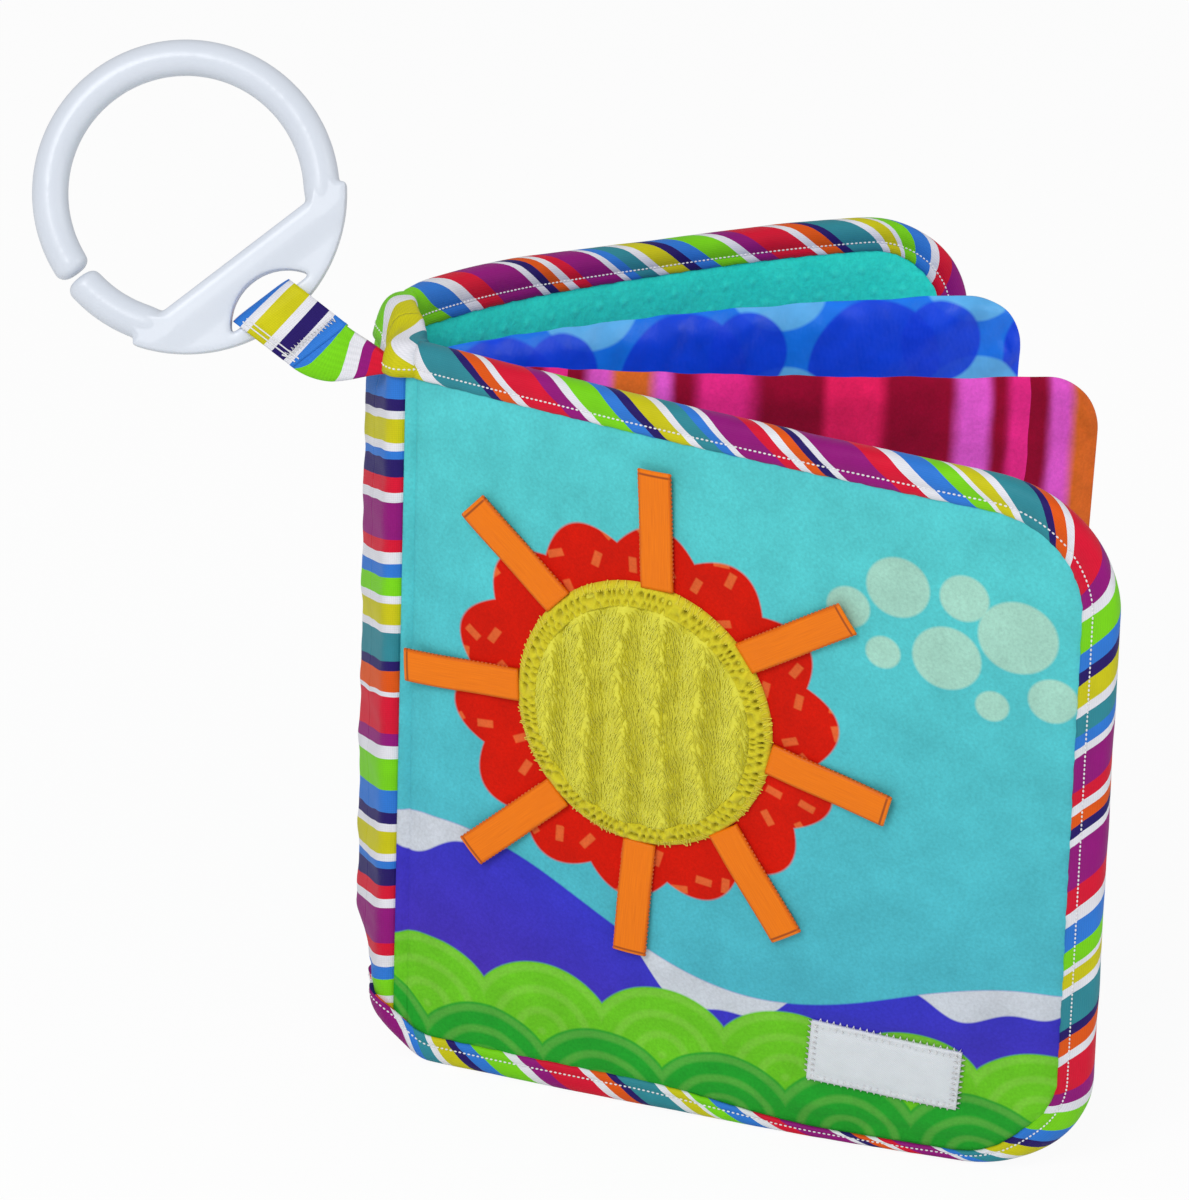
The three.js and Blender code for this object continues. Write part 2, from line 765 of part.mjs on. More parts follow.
function buildLoop(ring) {
  ring.updateMatrixWorld(true);
  const toRoot = ring.matrixWorld;
  const foldRadiusOut = eyeRadius + strapPly;
  const profile = new THREE.Shape();
  const touch = Math.acos(strapFlat / strapTail);
  profile.moveTo(-strapTail - overrun, -strapFlat);
  profile.lineTo(-strapTail, -strapFlat);
  profile.absarc(0, 0, foldRadiusOut, -touch - strapFlat / strapTail, touch + strapFlat / strapTail, false);
  profile.lineTo(-strapTail, strapFlat);
  profile.lineTo(-strapTail - overrun, strapFlat);
  profile.closePath();
  const eye = new THREE.Path();
  eye.absarc(0, 0, eyeRadius, 0, 2 * Math.PI, true);
  profile.holes.push(eye);
  const loop = new THREE.ExtrudeGeometry(profile, {
    depth: strapWidth,
    bevelEnabled: false,
    curveSegments: 10,
  });
  loop.translate(0, 0, -strapWidth * half);
  // the profile's X becomes the ring's Z, its Y the ring's Y, and its depth the ring's -X
  loop.rotateY(-Math.PI * half);
  const skew = Math.tan(radians(strapSkew));
  const sheared = new THREE.Matrix4().makeShear(0, 0, 0, 0, -skew, 0);
  loop.applyMatrix4(sheared);
  loop.applyMatrix4(toRoot);

  const start = new THREE.Vector3(skew * strapTail, 0, -strapTail).applyMatrix4(toRoot);
  const beyond = strapTail + neckReach;
  const bend = new THREE.Vector3(skew * beyond, 0, -beyond).applyMatrix4(toRoot);
  const seam = new THREE.Vector3(seamX, 0, seamZ);
  const square = seam.clone();
  square.x -= neckReach;
  const path = new THREE.CubicBezierCurve3(start, bend, square, seam);
  const barDirection = new THREE.Vector3(1, 0, 0).transformDirection(toRoot);
  const spineDirection = new THREE.Vector3(0, -1, 0);
  const neckSteps = 6;
  const outline = [[-half, -half], [half, -half], [half, half], [-half, half]].map(
    ([x, y]) => new THREE.Vector2(x, y),
  );
  const rings = [];
  for (let i = 0; i <= neckSteps; i++) {
    const share = i / neckSteps;
    const centre = path.getPoint(share);
    const onward = path.getTangent(share);
    const wide = barDirection.clone().lerp(spineDirection, share);
    wide.addScaledVector(onward, -wide.dot(onward)).normalize();
    const thick = new THREE.Vector3().crossVectors(onward, wide);
    const width = THREE.MathUtils.lerp(strapWidth, neckWidth, share);
    const thickness = THREE.MathUtils.lerp(2 * strapFlat, neckThickness, share);
    rings.push(
      outline.map((p) =>
        centre.clone().addScaledVector(wide, p.x * width).addScaledVector(thick, p.y * thickness),
      ),
    );
  }
  const neck = loftSolid(rings, outline);
  const roll = new THREE.CylinderGeometry(neckThickness * half, neckThickness * half, neckWidth, 10);
  roll.translate(seamX, 0, seamZ);
  const joined = toManifold(loop).add(toManifold(neck)).add(toManifold(roll));
  const mesh = piece("loop_strap", fromManifold(joined), colours.stripe);
  mesh.userData.hinge = { origin: seam, axis: new THREE.Vector3(0, 1, 0) };
  return mesh;
}

const book = new THREE.Group();
const front = buildCover(frontPanel, "front_cover", colours.aqua);
front.add(plushDisc(), wovenLabel());
ribbonSeats.forEach(([bearing, heading], index) => {
  front.add(ribbonTab("ribbon_tab_" + (index + 1), bearing, heading));
});
const ring = buildRing();
book.add(
  buildSpine(),
  front,
  buildLeaf(leafOnePanel, "leaf_1", colours.pink, roughCloth),
  buildLeaf(leafTwoPanel, "leaf_2", colours.blue, satin),
  buildCover(backPanel, "back_cover", colours.aqua),
  ring,
  buildLoop(ring),
);

export default book;
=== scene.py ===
# Soft activity book: padded covers and leaves on a narrow spine, a plush disc with ribbon tabs,
# a woven label, and a fabric loop that carries a plastic link ring. Metres, in the frame of the model.
import math

import bmesh
import bpy
import numpy as np
from mathutils import Matrix, Vector


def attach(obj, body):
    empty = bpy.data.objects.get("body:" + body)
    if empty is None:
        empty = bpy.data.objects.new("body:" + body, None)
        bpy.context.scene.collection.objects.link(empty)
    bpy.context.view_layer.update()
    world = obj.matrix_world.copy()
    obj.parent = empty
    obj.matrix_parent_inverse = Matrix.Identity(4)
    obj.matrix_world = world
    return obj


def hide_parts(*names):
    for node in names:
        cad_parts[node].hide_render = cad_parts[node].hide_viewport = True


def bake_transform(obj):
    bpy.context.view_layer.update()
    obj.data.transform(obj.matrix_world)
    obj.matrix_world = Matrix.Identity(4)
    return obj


bl_info = {
    "name": "Soft Activity Book",
    "version": (1, 0, 0),
    "blender": (4, 5, 0),
    "location": "3D View > Sidebar > Book",
    "description": "Makes the cloth, stitches, plush, ribbons and link ring of a soft activity book",
    "category": "Add Mesh",
}

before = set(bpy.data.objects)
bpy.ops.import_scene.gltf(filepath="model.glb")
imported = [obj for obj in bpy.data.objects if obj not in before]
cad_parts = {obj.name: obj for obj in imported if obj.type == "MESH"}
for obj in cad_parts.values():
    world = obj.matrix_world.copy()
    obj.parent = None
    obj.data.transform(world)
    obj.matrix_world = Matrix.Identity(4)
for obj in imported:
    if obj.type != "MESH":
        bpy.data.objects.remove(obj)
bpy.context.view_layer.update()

MM = 0.001
CLOTH_GAP = 0.3 * MM
TAPE_WIDTH = 7 * MM
STITCH_INSET = 4.9 * MM
RIM_SPACING = 1.1 * MM
FOLD_END = 4.6 * MM
STRAP_WIDTH = 14.3 * MM
NECK_WIDTH = 3 * MM
COVER_HEIGHT = 165 * MM
DISC_ALONG = 57.6 * MM
DISC_UP = 96 * MM
DISC_HALF_WIDTH = 27.3 * MM
DISC_HALF_HEIGHT = 29 * MM
LABEL_ALONG = 111.5 * MM
LABEL_UP = 22.5 * MM
LABEL_SIZE = (32 * MM, 15.2 * MM)
LABEL_TILT = -3.5
RIBBON_SEATS = [(40, 34), (85, 92), (132, 138), (179, 183), (230, 223), (270, 267), (309, 304), (353, 347)]
HOOD_RUN = 5 * MM
FOOT_RUN = 13 * MM
SEAM_ALONG = 1.6 * MM
RIBBON_LENGTH = 26 * MM
RIBBON_WIDTH = 7 * MM


def colour(red, green, blue):
    """A colour as it looks, from 0 to 255, as the linear values that a shader takes."""
    shares = (channel / 255 for channel in (red, green, blue))
    return tuple(s / 12.92 if s <= 0.04045 else ((s + 0.055) / 1.055) ** 2.4 for s in shares)


STRIPE_COLOURS = {
    "lime": colour(124, 218, 8),
    "green": colour(60, 175, 60),
    "blue": colour(44, 124, 220),
    "navy": colour(32, 6, 104),
    "white": colour(236, 236, 244),
    "yellow": colour(210, 204, 4),
    "red": colour(222, 0, 48),
    "purple": colour(150, 0, 124),
    "teal": colour(45, 140, 155),
    "orange": colour(232, 88, 0),
}
BINDING_STRIPES = [
    ("teal", 8), ("navy", 2.6), ("orange", 4.2), ("white", 2.6), ("red", 9), ("purple", 4.5), ("white", 3),
    ("lime", 7.5), ("blue", 4.5), ("navy", 3.2), ("yellow", 5.5), ("white", 2.4), ("teal", 4.5), ("blue", 3),
    ("white", 2), ("purple", 8.5), ("red", 3.4), ("white", 2.6), ("orange", 3), ("navy", 2.6), ("white", 1.8),
    ("purple", 11), ("red", 6), ("white", 3.5), ("blue", 6), ("lime", 4.3), ("white", 1.4), ("yellow", 4.4),
    ("white", 2.5),
]
SPINE_STRIPES = [
    ("lime", 7), ("blue", 5.5), ("navy", 2.6), ("white", 2), ("yellow", 5.2), ("white", 1.9), ("blue", 1.8),
    ("navy", 3.8), ("red", 3.5), ("white", 2), ("purple", 8.8), ("red", 2.8), ("white", 2.6), ("blue", 2.8),
    ("lime", 4), ("white", 1.8), ("yellow", 5), ("white", 1.7), ("teal", 6.7), ("navy", 2.3), ("orange", 4.5),
    ("white", 1.4), ("red", 8.4), ("purple", 2.7), ("white", 3.3),
]


# Shapes


class Panel:
    """A cover or a leaf. A place on it is given along it from its fold, up from the floor, and out.
    On the floor, ahead is the way along it, and outward is the way from the pages."""

    def __init__(self, hinge, turn, side, flat, bow, splay, height, corner, foot, edge, crown, lip, start):
        self.hinge = np.array(hinge) * MM
        self.turn = math.radians(turn)
        self.side = side
        self.ahead = np.array([math.cos(self.turn), -math.sin(self.turn)])
        self.outward = np.array([-math.sin(self.turn), -math.cos(self.turn)]) * side
        self.width = (flat - 8 * bow * bow / (3 * flat)) * MM
        self.bow, self.splay, self.height = bow * MM, splay * MM, height * MM
        self.corner, self.foot = corner * MM, foot * MM
        self.edge, self.crown, self.lip, self.start = edge * MM, crown * MM, lip * MM, start * MM
        self.inset = 1.2 * MM if lip else 0.0

    def point(self, along, up, out):
        along, up, out = np.broadcast_arrays(*(np.asarray(v, float) for v in (along, up, out)))
        share = along / self.width
        swell = 4 * self.bow * share * (1 - share)
        lean = self.splay * share * (up / self.height)
        across = -self.side * (swell + lean + out)
        c, s = math.cos(self.turn), math.sin(self.turn)
        x = self.hinge[0] + along * c + across * s
        y = self.hinge[1] - along * s + across * c
        return np.stack([x, y, up], -1)

    def reach(self, along, inset):
        radius = self.corner - inset
        within = np.clip(along - (self.width - self.corner), 0, radius)
        drop = radius - np.sqrt(np.maximum(radius * radius - within * within, 0))
        return self.foot + inset + drop, self.foot + self.height - inset - drop

    def surface(self, along, up):
        low, high = self.reach(along, self.inset)
        lip = self.lip - self.inset if self.lip else 0.0
        across = (along - self.start) / (self.width - self.lip - self.start)
        rise = (up - low - lip) / np.maximum(high - low - 2 * lip, 1e-6)
        return self.edge / 2 + self.crown * pillow(across) * pillow(rise)

    def rim_distance(self, along, up):
        """How far a place is from the panel's outline."""
        top = self.foot + self.height
        past = along - (self.width - self.corner)
        centre = np.where(up > self.foot + self.height / 2, top - self.corner, self.foot + self.corner)
        beyond = np.where(up > self.foot + self.height / 2, up - centre, centre - up)
        in_corner = (past > 0) & (beyond > 0)
        straight = np.minimum(np.minimum(self.width - along, top - up), up - self.foot)
        return np.where(in_corner, self.corner - np.hypot(past, beyond), straight)

    def rim_place(self, along, up):
        """A measure that runs round the panel's outline, for wrinkles that start there."""
        middle_up = self.foot + self.height / 2
        return np.arctan2((up - middle_up) / self.height, (along / self.width) - 0.15) * 0.11


def pillow(share):
    """Nought at both ends of a span and one over most of its middle."""
    return 1 - (2 * np.clip(share, 0, 1) - 1) ** 4


def wander(place, period, seed):
    """A slow, uneven wave with no repeat that shows, from -1 to 1."""
    total = 0.0
    for k, stretch in enumerate((1.0, 0.61, 0.37)):
        phase = math.sin(seed * 12.9898 + k * 78.233) * 43.7
        total = total + np.sin(2 * math.pi * place / (period * stretch) + phase) / (1.4 + k)
    return total / 1.5


def smooth_step(low, high, value):
    share = np.clip((value - low) / (high - low), 0, 1)
    return share * share * (3 - 2 * share)


COVER = dict(height=165, corner=26, foot=0, edge=4, crown=1.5, lip=7, start=3.7)
LEAF = dict(height=153, corner=12, foot=4.5, edge=1.9, crown=1.6, lip=0, start=0)
front = Panel((0, -9), 32, 1, 155, 3, 34, **COVER)
back = Panel((0, 9), -20, -1, 155, 13, -10, **COVER)
leaf_one = Panel((5.85, -2.8), 13.5, 1, 141, 4, 0, **LEAF)
leaf_two = Panel((5.85, 2.8), -5.5, 1, 141, -8, 0, **LEAF)


# How far the spine's foot is drawn up and in, and how far the fold over its top rises and leans,
# in millimetres
FOOT_RISE, FOOT_DRAW = 9.3, 6.4
HOOD_RISE, HOOD_LEAN = 3.0, 3.8


def lifted(points):
    """The foot of the spine is drawn up and in, and the fold over its top stands a little higher
    towards the back cover and leans in."""
    x, y, z = points[..., 0] / MM, points[..., 1] / MM, points[..., 2] / MM
    foot = 1 - smooth_step(3, 26, z)
    rise = FOOT_RISE * (1 - smooth_step(-6, 7 + 7 * smooth_step(-11, 7, y), x)) * (1 - smooth_step(0, 36, z))
    shift = (1.8 + 2.3 * smooth_step(-1, 8, y)) * smooth_step(-9, -1, y) * (1 - smooth_step(-3, 6, x)) * foot
    draw = FOOT_DRAW * smooth_step(0, 14, y) * (1 - smooth_step(-2, 8, x)) * foot
    crown = HOOD_RISE * smooth_step(-7, 8, y) * smooth_step(151, 165, z) * (1 - smooth_step(15, 75, x))
    lean = HOOD_LEAN * smooth_step(-10, -2, y) * smooth_step(148, 166, z) * (1 - smooth_step(-2, 12, x))
    return np.stack([x + shift + lean, y - draw, z + rise + crown], -1) * MM


def bezier(points, steps):
    """Points along a smooth curve through the given ones."""
    points = np.asarray(points, float)
    padded = np.vstack([2 * points[0] - points[1], points, 2 * points[-1] - points[-2]])
    out = []
    for i in range(1, len(padded) - 2):
        a, b, c, d = padded[i - 1:i + 3]
        for t in np.linspace(0, 1, steps, endpoint=False):
            out.append(0.5 * (2 * b + (c - a) * t + (2 * a - 5 * b + 4 * c - d) * t * t
                              + (3 * b - a - 3 * c + d) * t ** 3))
    out.append(padded[-2])
    return np.array(out)


def spaced(line, count):
    """A line's points moved to be evenly spaced, and the length run at each."""
    line = np.asarray(line, float)
    run = np.concatenate([[0], np.cumsum(np.linalg.norm(np.diff(line, axis=0), axis=1))])
    at = np.linspace(0, run[-1], count)
    return np.stack([np.interp(at, run, line[:, k]) for k in range(line.shape[1])], -1), at


# Mesh building


def band(points, cloth, around=False, caps=False):
    """Faces over a grid of points. Cloth gives each point's place on the cloth, along and across."""
    rows, columns = points.shape[:2]
    i, j = np.meshgrid(np.arange(rows - 1), np.arange(columns if around else columns - 1), indexing="ij")
    k = (j + 1) % columns
    faces = np.stack([i * columns + j, (i + 1) * columns + j, (i + 1) * columns + k, i * columns + k], -1)
    corners = np.stack([cloth[i, j], cloth[i + 1, j], cloth[i + 1, j + 1], cloth[i, j + 1]], -2)
    faces = faces.reshape(-1, 4).tolist()
    corners = corners.reshape(-1, 2).tolist()
    if caps:
        for row, base in ((0, 0), (rows - 1, (rows - 1) * columns)):
            faces.append([base + c for c in range(columns)])
            corners += [cloth[row, c].tolist() for c in range(columns)]
    return points.reshape(-1, 3), faces, corners


def slab(top, under, cloth):
    """A closed sheet between two like grids of points."""
    rows, columns = top.shape[:2]
    count = rows * columns
    points = np.concatenate([top.reshape(-1, 3), under.reshape(-1, 3)])
    index = np.arange(count).reshape(rows, columns)
    quads = [np.stack([index[:-1, :-1], index[1:, :-1], index[1:, 1:], index[:-1, 1:]], -1).reshape(-1, 4)]
    quads.append(quads[0][:, ::-1] + count)
    rim = np.concatenate([index[:-1, 0], index[-1, :-1], index[:0:-1, -1], index[0, :0:-1]])
    onward = np.roll(rim, -1)
    quads.append(np.stack([onward, rim, rim + count, onward + count], -1))
    faces = np.concatenate(quads)
    flat = cloth.reshape(-1, 2)
    corners = flat[faces % count].reshape(-1, 2)
    return points, faces.tolist(), corners.tolist()


def make_piece(name, parts, material, smooth=True, keep_sides=False):
    """A mesh object from points, faces and cloth places, with its faces turned outward."""
    points, faces, corners = parts
    mesh = bpy.data.meshes.new(name)
    mesh.from_pydata(np.asarray(points).tolist(), [], faces)
    layer = mesh.uv_layers.new(name="cloth")
    layer.data.foreach_set("uv", np.asarray(corners, np.float32).ravel())
    if not keep_sides:
        shape = bmesh.new()
        shape.from_mesh(mesh)
        bmesh.ops.recalc_face_normals(shape, faces=shape.faces)
        shape.to_mesh(mesh)
        shape.free()
    mesh.polygons.foreach_set("use_smooth", [smooth] * len(mesh.polygons))
    mesh.materials.append(material)
    piece = bpy.data.objects.new(name, mesh)
    bpy.context.scene.collection.objects.link(piece)
    return piece


def vertex_places(mesh):
    places = np.empty(len(mesh.vertices) * 3)
    mesh.vertices.foreach_get("co", places)
    return places.reshape(-1, 3)


def finished(piece):
    """The piece with its modifiers applied."""
    depsgraph = bpy.context.evaluated_depsgraph_get()
    mesh = bpy.data.meshes.new_from_object(piece.evaluated_get(depsgraph), depsgraph=depsgraph)
    piece.modifiers.clear()
    old = piece.data
    name = old.name
    piece.data = mesh
    bpy.data.meshes.remove(old)
    mesh.name = name
    return piece


def finer(piece, levels=1):
    subdivision = piece.modifiers.new("finer", "SUBSURF")
    subdivision.levels = subdivision.render_levels = levels
    return finished(piece)


def settle(points, faces, held, pressure, growth, cap, frames=18):
    """Lets cloth swell under pressure from inside while its seams are held. Worked ten times as large."""
    scale = 10
    mesh = bpy.data.meshes.new("swelling")
    mesh.from_pydata((points * scale).tolist(), [], faces)
    shape = bmesh.new()
    shape.from_mesh(mesh)
    bmesh.ops.recalc_face_normals(shape, faces=shape.faces)
    shape.to_mesh(mesh)
    shape.free()
    cloth_object = bpy.data.objects.new("swelling", mesh)
    scene = bpy.context.scene
    scene.collection.objects.link(cloth_object)
    seam = cloth_object.vertex_groups.new(name="seam")
    for index in np.nonzero(held)[0]:
        seam.add([int(index)], 1.0, "REPLACE")
    modifier = cloth_object.modifiers.new("cloth", "CLOTH")
    settings = modifier.settings
    settings.quality = 5
    settings.mass = 0.3
    settings.tension_stiffness = settings.compression_stiffness = 12
    settings.shear_stiffness = 4
    settings.bending_stiffness = 0.3
    settings.air_damping = 4
    settings.use_pressure = True
    settings.uniform_pressure_force = pressure
    settings.shrink_min = settings.shrink_max = -growth
    settings.vertex_group_mass = "seam"
    settings.effector_weights.gravity = 0
    modifier.collision_settings.use_collision = False
    modifier.point_cache.frame_start, modifier.point_cache.frame_end = 1, frames
    for number in range(1, frames + 1):
        scene.frame_set(number)
    depsgraph = bpy.context.evaluated_depsgraph_get()
    result = cloth_object.evaluated_get(depsgraph).to_mesh()
    moved = vertex_places(result) / scale
    bpy.data.objects.remove(cloth_object)
    scene.frame_set(1)
    change = moved - points
    length = np.linalg.norm(change, axis=1, keepdims=True)
    return points + change * np.minimum(1, cap / np.maximum(length, 1e-9))


# Stitches and threads, as Geometry Nodes


def tree_with_inputs(name, inputs):
    tree = bpy.data.node_groups.new(name, "GeometryNodeTree")
    tree.interface.new_socket("Path", in_out="INPUT", socket_type="NodeSocketGeometry")
    for label, kind, value in inputs:
        socket = tree.interface.new_socket(label, in_out="INPUT", socket_type=kind)
        if value is not None:
            socket.default_value = value
    tree.interface.new_socket("Mesh", in_out="OUTPUT", socket_type="NodeSocketGeometry")
    return tree, tree.nodes.new("NodeGroupInput"), tree.nodes.new("NodeGroupOutput")


def ended(tree, geometry, given, result):
    """The end that the trees share: instances made real, smooth, with the given material."""
    for kind in ("GeometryNodeRealizeInstances", "GeometryNodeSetShadeSmooth", "GeometryNodeSetMaterial"):
        made = tree.nodes.new(kind)
        tree.links.new(geometry, made.inputs["Geometry"])
        geometry = made.outputs["Geometry"]
    tree.links.new(given.outputs["Material"], made.inputs["Material"])
    tree.links.new(geometry, result.inputs["Mesh"])
    return tree


def stitch_tree():
    """Short rounded dashes of thread, evenly spaced along a path."""
    name = "stitches_along_a_path"
    if name in bpy.data.node_groups:
        return bpy.data.node_groups[name]
    sizes = [("Pitch", "NodeSocketFloat", 2 * MM), ("Length", "NodeSocketFloat", 1.4 * MM),
             ("Width", "NodeSocketFloat", 0.4 * MM), ("Material", "NodeSocketMaterial", None)]
    tree, given, result = tree_with_inputs(name, sizes)
    new, link = tree.nodes.new, tree.links.new
    path = new("GeometryNodeMeshToCurve")
    link(given.outputs["Path"], path.inputs["Mesh"])
    even = new("GeometryNodeResampleCurve")
    even.mode = "LENGTH"
    link(path.outputs["Curve"], even.inputs["Curve"])
    link(given.outputs["Pitch"], even.inputs["Length"])
    tangent = new("GeometryNodeInputTangent")
    aligned = new("FunctionNodeAlignRotationToVector")
    aligned.axis = "X"
    link(tangent.outputs["Tangent"], aligned.inputs["Vector"])
    dash = new("GeometryNodeMeshIcoSphere")
    dash.inputs["Radius"].default_value = 0.5
    dash.inputs["Subdivisions"].default_value = 2
    size = new("ShaderNodeCombineXYZ")
    link(given.outputs["Length"], size.inputs[0])
    link(given.outputs["Width"], size.inputs[1])
    link(given.outputs["Width"], size.inputs[2])
    placed = new("GeometryNodeInstanceOnPoints")
    link(even.outputs["Curve"], placed.inputs["Points"])
    link(dash.outputs["Mesh"], placed.inputs["Instance"])
    link(aligned.outputs["Rotation"], placed.inputs["Rotation"])
    link(size.outputs[0], placed.inputs["Scale"])
    return ended(tree, placed.outputs["Instances"], given, result)


def thread_tree():
    """A round thread with closed ends that follows each line of a path."""
    name = "thread_on_a_path"
    if name in bpy.data.node_groups:
        return bpy.data.node_groups[name]
    sizes = [("Radius", "NodeSocketFloat", 0.2 * MM), ("Sides", "NodeSocketInt", 6),
             ("Material", "NodeSocketMaterial", None)]
    tree, given, result = tree_with_inputs(name, sizes)
    new, link = tree.nodes.new, tree.links.new
    path = new("GeometryNodeMeshToCurve")
    link(given.outputs["Path"], path.inputs["Mesh"])
    ring = new("GeometryNodeCurvePrimitiveCircle")
    link(given.outputs["Sides"], ring.inputs["Resolution"])
    link(given.outputs["Radius"], ring.inputs["Radius"])
    tube = new("GeometryNodeCurveToMesh")
    link(path.outputs["Curve"], tube.inputs["Curve"])
    link(ring.outputs["Curve"], tube.inputs["Profile Curve"])
    tube.inputs["Fill Caps"].default_value = True
    return ended(tree, tube.outputs["Mesh"], given, result)


def along_lines(name, lines, tree, material, **sizes):
    """A piece that the tree makes along each of the given lines of points."""
    points, edges = [], []
    for line in lines:
        base = len(points)
        points += [tuple(map(float, p)) for p in line]
        edges += [(base + k, base + k + 1) for k in range(len(line) - 1)]
    mesh = bpy.data.meshes.new(name)
    mesh.from_pydata(points, edges, [])
    piece = bpy.data.objects.new(name, mesh)
    bpy.context.scene.collection.objects.link(piece)
    modifier = piece.modifiers.new("nodes", "NODES")
    modifier.node_group = tree
    values = dict(sizes, Material=material)
    for item in tree.interface.items_tree:
        if item.item_type == "SOCKET" and item.in_out == "INPUT" and item.name in values:
            modifier[item.identifier] = values[item.name]
    piece.update_tag()
    bpy.context.view_layer.update()
    return finished(piece)


# Shading


class Value:
    """A socket of a material's nodes that takes part in sums."""

    def __init__(self, shade, socket):
        self.shade, self.socket = shade, socket

    def sum(self, operation, *others):
        return self.shade.node("ShaderNodeMath", {"operation": operation}, dict(enumerate((self, *others))))

    def __add__(self, other):
        return self.sum("ADD", other)

    __radd__ = __add__

    def __sub__(self, other):
        return self.sum("SUBTRACT", other)

    def __rsub__(self, other):
        return self.shade.node("ShaderNodeMath", {"operation": "SUBTRACT"}, {0: other, 1: self})

    def __mul__(self, other):
        return self.sum("MULTIPLY", other)

    __rmul__ = __mul__

    def __truediv__(self, other):
        return self.sum("DIVIDE", other)

    def __rtruediv__(self, other):
        return self.shade.node("ShaderNodeMath", {"operation": "DIVIDE"}, {0: other, 1: self})

    def __pow__(self, other):
        return self.sum("POWER", other)

    def __mod__(self, other):
        return self.sum("FLOORED_MODULO", other)

    def __lt__(self, other):
        return self.sum("LESS_THAN", other)

    def __gt__(self, other):
        return self.sum("GREATER_THAN", other)

    def __abs__(self):
        return self.sum("ABSOLUTE")

    def least(self, other):
        return self.sum("MINIMUM", other)

    def most(self, other):
        return self.sum("MAXIMUM", other)

    def sine(self):
        return self.sum("SINE")

    def cosine(self):
        return self.sum("COSINE")

    def floor(self):
        return self.sum("FLOOR")

    def root(self):
        return self.sum("SQRT")

    def clipped(self):
        return self.most(0.0).least(1.0)

    def edge(self, softness):
        """A mask that is one where this is above nought, with an edge this soft."""
        return (self / softness + 0.5).clipped()


class Shade:
    """A material under construction, with one Principled shader."""

    def __init__(self, name, **constants):
        self.material = bpy.data.materials.new(name)
        self.material.use_nodes = True
        self.tree = self.material.node_tree
        self.shader = self.tree.nodes["Principled BSDF"]
        for label, value in constants.items():
            self.shader.inputs[label.replace("_", " ")].default_value = value

    def node(self, kind, settings=None, inputs=None, output=0):
        made = self.tree.nodes.new(kind)
        for key, value in (settings or {}).items():
            if key == "stops":
                ramp = made.color_ramp
                while len(ramp.elements) < len(value):
                    ramp.elements.new(1.0)
                for element, (place, shade_colour) in zip(ramp.elements, value):
                    element.position, element.color = place, (*shade_colour, 1)
            elif key == "interpolation" and kind == "ShaderNodeValToRGB":
                made.color_ramp.interpolation = value
            else:
                setattr(made, key, value)
        for key, value in (inputs or {}).items():
            self.feed(made.inputs[key], value)
        return Value(self, made.outputs[output])

    def feed(self, socket, value):
        if isinstance(value, Value):
            self.tree.links.new(value.socket, socket)
        elif isinstance(value, tuple) and len(value) == 3 and len(socket.default_value) == 4:
            socket.default_value = (*value, 1)
        else:
            socket.default_value = value

    def set(self, label, value):
        self.feed(self.shader.inputs[label], value)

    def mix(self, first, second, share):
        return self.node("ShaderNodeMix", {"data_type": "RGBA"}, {0: share, 6: first, 7: second}, 2)

    def multiplied(self, first, second):
        return self.node("ShaderNodeMix", {"data_type": "RGBA", "blend_type": "MULTIPLY"},
                         {0: 1.0, 6: first, 7: second}, 2)

    def greys(self, value, low, high, dark):
        """A grey that goes from dark to white as the value goes from low to high."""
        stops = [(low, (dark,) * 3), (high, (1.0,) * 3)]
        return self.node("ShaderNodeValToRGB", {"stops": stops}, {0: value})

    def split(self, vector):
        made = self.tree.nodes.new("ShaderNodeSeparateXYZ")
        self.tree.links.new(vector.socket, made.inputs[0])
        return [Value(self, made.outputs[k]) for k in range(3)]

    def cloth_places(self):
        """Where a point is on its piece of cloth, in millimetres."""
        flat = self.node("ShaderNodeUVMap", {"uv_map": "cloth"})
        along, across, _ = self.split(flat)
        return along * 1000, across * 1000

    def pair(self, first, second, third=0.0):
        return self.node("ShaderNodeCombineXYZ", None, {0: first, 1: second, 2: third})

    def place(self):
        """The point's own coordinates, in metres."""
        return self.node("ShaderNodeTexCoord", None, None, "Object")

    def noise(self, vector, scale, detail=2.0, roughness=0.5, output="Fac"):
        return self.node("ShaderNodeTexNoise", None,
                         {"Vector": vector, "Scale": scale, "Detail": detail, "Roughness": roughness}, output)

    def bump(self, height, strength, distance, under=None):
        inputs = {"Strength": strength, "Distance": distance, "Height": height}
        if under is not None:
            inputs["Normal"] = under
        return self.node("ShaderNodeBump", None, inputs, "Normal")

    def varied(self, base, amount, scale):
        """The colour, lighter and darker in soft patches."""
        return self.multiplied(base, self.greys(self.noise(self.place(), scale, 3.0), 0.25, 0.75, 1 - amount))

    def stripes(self, place, sequence):
        """Stripes of the named colours, over and over, by a place in millimetres."""
        total = sum(width for _, width in sequence)
        stops, run = [], 0.0
        for label, width in sequence:
            stops.append((run / total, STRIPE_COLOURS[label]))
            run += width
        settings = {"stops": stops, "interpolation": "CONSTANT"}
        return self.node("ShaderNodeValToRGB", settings, {0: place % total / total})


# What the woven and the velvety cloths share
WOVEN = dict(Roughness=0.6, Specular_IOR_Level=0.22, Sheen_Weight=0.02)
VELVETY = dict(Roughness=0.9, Specular_IOR_Level=0.15, Sheen_Roughness=0.4)


def from_point(beside, height):
    """How far a place is from a point that it lies this far beside and above."""
    return (beside * beside + height * height).root()


